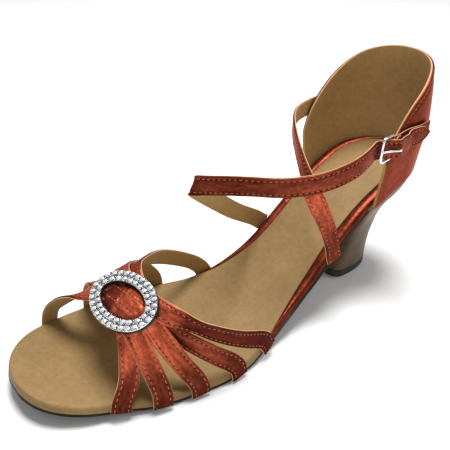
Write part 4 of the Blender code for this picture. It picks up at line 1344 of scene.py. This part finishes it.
def add_bead(bits, matrix, at):
    """A small claw bead."""
    rows = []
    for height, wide in BEAD_RINGS:
        corners = (Vector((c * wide, s * wide, height)) for c, s in circle(FACETS))
        rows.append([matrix @ (at + corner * BEAD_RADIUS) for corner in corners])
    bits.add(rows)


def make_stones(facets, silver):
    """Two rows of clear stones, and the claw beads between them."""
    draw = random.Random(7)
    matrix, stones, claws = slide_matrix(), Bits(), Bits()
    for offset, count in STONE_ROWS:
        angles = even_angles(offset, count)
        for angle, after in zip(angles, angles[1:]):
            at = oval(offset, angle, SETTING_TOP)
            add_stone(stones, matrix, at, draw.uniform(0, 0.8), draw)
            for side in (-0.78 * MM, 0.78 * MM):
                claw = oval(offset + side, (angle + after) / 2, SETTING_TOP + 0.40 * MM)
                add_bead(claws, matrix, claw)
    dress(stones.piece("slide_stones", facets, sharp=1), "crystal")
    dress(claws.piece("slide_claws", [silver]), "silver_metal")


# The satin gathered in the slide's window, in the slide's own axes
CREST = -2.6 * MM
GATHER_SEAMS = (-2.0 * MM, 3.1 * MM)
GATHER_EDGES = (-3.5 * MM, 4.7 * MM)
GATHER_LONG = 14.1 * MM
GATHER_SHORT = 7.6 * MM
GATHER_FLOOR = -2.1 * MM
GATHER_RINGS = 44
GATHER_SECTORS = 150
SEAM_START = -11.5 * MM
SEAM_POINTS = 23


def gather_height(x, y):
    """How high the gathered satin stands over the slide's middle plane."""
    left = max(0.0, CREST - x) / (11.0 * MM)
    right = max(0.0, x - CREST) / (16.0 * MM)
    z = 0.25 * MM - 2.3 * MM * left**1.05 - 1.3 * MM * right**1.7
    z -= 1.35 * MM * (abs(y) / (7.4 * MM)) ** 2.6
    z -= 0.30 * MM * dip(x - CREST - 0.5 * MM + 0.25 * y, 0.7 * MM)
    for edge in GATHER_EDGES:
        past = (y - edge) * (1 if edge > 0 else -1)
        z -= 0.40 * MM * eased(past, -0.15 * MM, 0.35 * MM)
    for seam in GATHER_SEAMS:
        z -= 0.13 * MM * dip(y - seam, 0.22 * MM)
    z += noise.noise(Vector((x * 260, y * 620, 4.0))) * 0.16 * MM
    z += noise.noise(Vector((x * 900, y * 700, 9.0))) * 0.09 * MM
    return z


def gather_painted_shade(x, y):
    """Painted shade: dark on the fall behind the crest and in the corners under the ring."""
    tone = 0.22 + 0.38 * eased(x, CREST - 1.2 * MM, CREST + 1.2 * MM)
    rim = math.hypot(x / (13.2 * MM), y / (6.9 * MM))
    return tone * (1.0 - 0.65 * eased(rim, 0.72, 1.0))


def make_gather(satin, thread):
    """A satin pillow in the window, creased across its crest and stitched along it."""
    matrix = slide_matrix()
    outline = [(GATHER_LONG * c, GATHER_SHORT * s) for c, s in circle(GATHER_SECTORS)]
    rows, tones = [], []
    for r in ((i + 1) / GATHER_RINGS for i in range(GATHER_RINGS)):
        ring = [(x * r, y * r) for x, y in outline]
        rows.append([matrix @ Vector((x, y, gather_height(x, y))) for x, y in ring])
        tones += [gather_painted_shade(x, y) for x, y in ring]
    # The floor row under the ring takes painted shade
    rows.append([matrix @ Vector((x, y, GATHER_FLOOR)) for x, y in outline])
    tones += [0.2] * GATHER_SECTORS
    dress(surface("slide_gather", rows, [satin], sharp=70, tones=tones), "copper_satin")
    bits = Bits()
    for seam in GATHER_SEAMS:
        sides = [SEAM_START + n * MM for n in range(SEAM_POINTS)]
        line = [matrix @ Vector((x, seam, gather_height(x, seam))) for x in sides]
        rail = make_rail(line, [matrix.to_3x3() @ Vector((0, 1, 0))] * len(line))
        sew(bits, rail, lambda at: 0.0, 0.0, rail[-1].at, 0.0)
    dress(bits.piece("gather_stitches", [thread]), "thread")


# Camera, lights and floor
CAMERA_PLACE = Vector((0.18247, -0.15390, 0.18812))
CAMERA_AIM = Vector((-0.0048, -0.0045, 0.0464))
CAMERA_ROLL = math.radians(1.36)
CAMERA_LENS = 48.5
WORLD_LIGHT = 0.32
FLOOR_HALF = 3.0

# Each lamp: its name, its place, the height that it aims at, its size and its power
LAMPS = (
    ("key", (-0.15, 0.18, 1.1), 0.03, 0.6, 19.0),
    ("side", (0.6, 0.9, 0.7), 0.04, 0.6, 3.0),
    ("fill", (0.9, -0.9, 0.6), 0.03, 0.9, 2.0),
)


def make_camera():
    data = bpy.data.cameras.new("camera")
    data.lens = CAMERA_LENS
    data.clip_start = 0.01
    camera = bpy.data.objects.new("camera", data)
    bpy.context.collection.objects.link(camera)
    back = (CAMERA_PLACE - CAMERA_AIM).normalized()
    level = UP.cross(back).normalized()
    right = level * math.cos(CAMERA_ROLL) + back.cross(level) * math.sin(CAMERA_ROLL)
    turn = Matrix((right, back.cross(right), back)).transposed().to_4x4()
    camera.matrix_world = Matrix.Translation(CAMERA_PLACE) @ turn
    bpy.context.scene.camera = camera


def make_stage(look):
    world = bpy.data.worlds.new("studio")
    world.use_nodes = True
    world.node_tree.nodes["Background"].inputs["Color"].default_value = (1.0, 1.0, 1.0, 1.0)
    world.node_tree.nodes["Background"].inputs["Strength"].default_value = WORLD_LIGHT
    bpy.context.scene.world = world
    bpy.context.scene.view_settings.view_transform = "Standard"
    for name, at, aim_height, size, power in LAMPS:
        data = bpy.data.lights.new(name, "AREA")
        data.shape = "DISK"
        data.size = size
        data.energy = power
        lamp = bpy.data.objects.new(name, data)
        lamp.location = at
        lamp.rotation_mode = "QUATERNION"
        aim = UP * aim_height - Vector(at)
        lamp.rotation_quaternion = aim.to_track_quat("-Z", "Y")
        bpy.context.collection.objects.link(lamp)
    corners = [(x * FLOOR_HALF, y * FLOOR_HALF, 0) for x, y in ((-1, -1), (1, -1), (1, 1), (-1, 1))]
    mesh = bpy.data.meshes.new("floor")
    mesh.from_pydata(corners, [], [(0, 1, 2, 3)])
    mesh.materials.append(look.material)
    floor = bpy.data.objects.new("floor", mesh)
    bpy.context.collection.objects.link(floor)


make_camera()
settle_origin()

satin_look = make_satin("copper_satin", 1.0)
cup_look = make_satin("copper_satin_wide", 0.45)
sock_look = make_tan("tan_lining", (0.255, 0.155, 0.052), (0.205, 0.122, 0.040))
under_look = make_tan("lining_under", (0.46, 0.285, 0.105), (0.38, 0.230, 0.080))
edge_look = make_tan("lining_edge", (0.66, 0.35, 0.18), (0.54, 0.27, 0.13), 0.5)
suede_look = make_suede()
cover_look = make_heel_cover()
rubber_look = make_rubber()
silver_look = make_silver("silver_metal", (0.78, 0.79, 0.81), 0.16)
# Painted shade and painted shadow copies of the silver, for the channels and the walls
painted_shade_look = make_silver("silver_painted_shade", (0.42, 0.42, 0.43), 0.35)
painted_shadow_look = make_silver("silver_painted_shadow", (0.035, 0.033, 0.035), 0.5)
# Painted reflections on the stones: bright, mid and dark copies of one crystal
painted_reflection_looks = (
    make_crystal("crystal", (0.97, 0.98, 1.0), 0.06, 0.55),
    make_crystal("crystal_painted_mid_reflection", (0.72, 0.74, 0.76), 0.08, 0.8),
    make_crystal("crystal_painted_dark_reflection", (0.26, 0.27, 0.29), 0.10, 0.8),
)
thread_look = make_thread()
strap_looks = (satin_look, edge_look, under_look)

make_sock(sock_look)
make_binding(satin_look)
make_outsole(suede_look)
make_heel(cover_look, rubber_look)
make_counter((cup_look, edge_look, under_look), thread_look)
make_bands(strap_looks, thread_look)
make_setting(silver_look, painted_shade_look, painted_shadow_look)
make_stones(painted_reflection_looks, silver_look)
make_gather(satin_look, thread_look)
make_ankle_straps(strap_looks, thread_look, rubber_look)
make_buckle(silver_look)
make_tab(satin_look, edge_look, thread_look)
make_stage(make_floor_look())
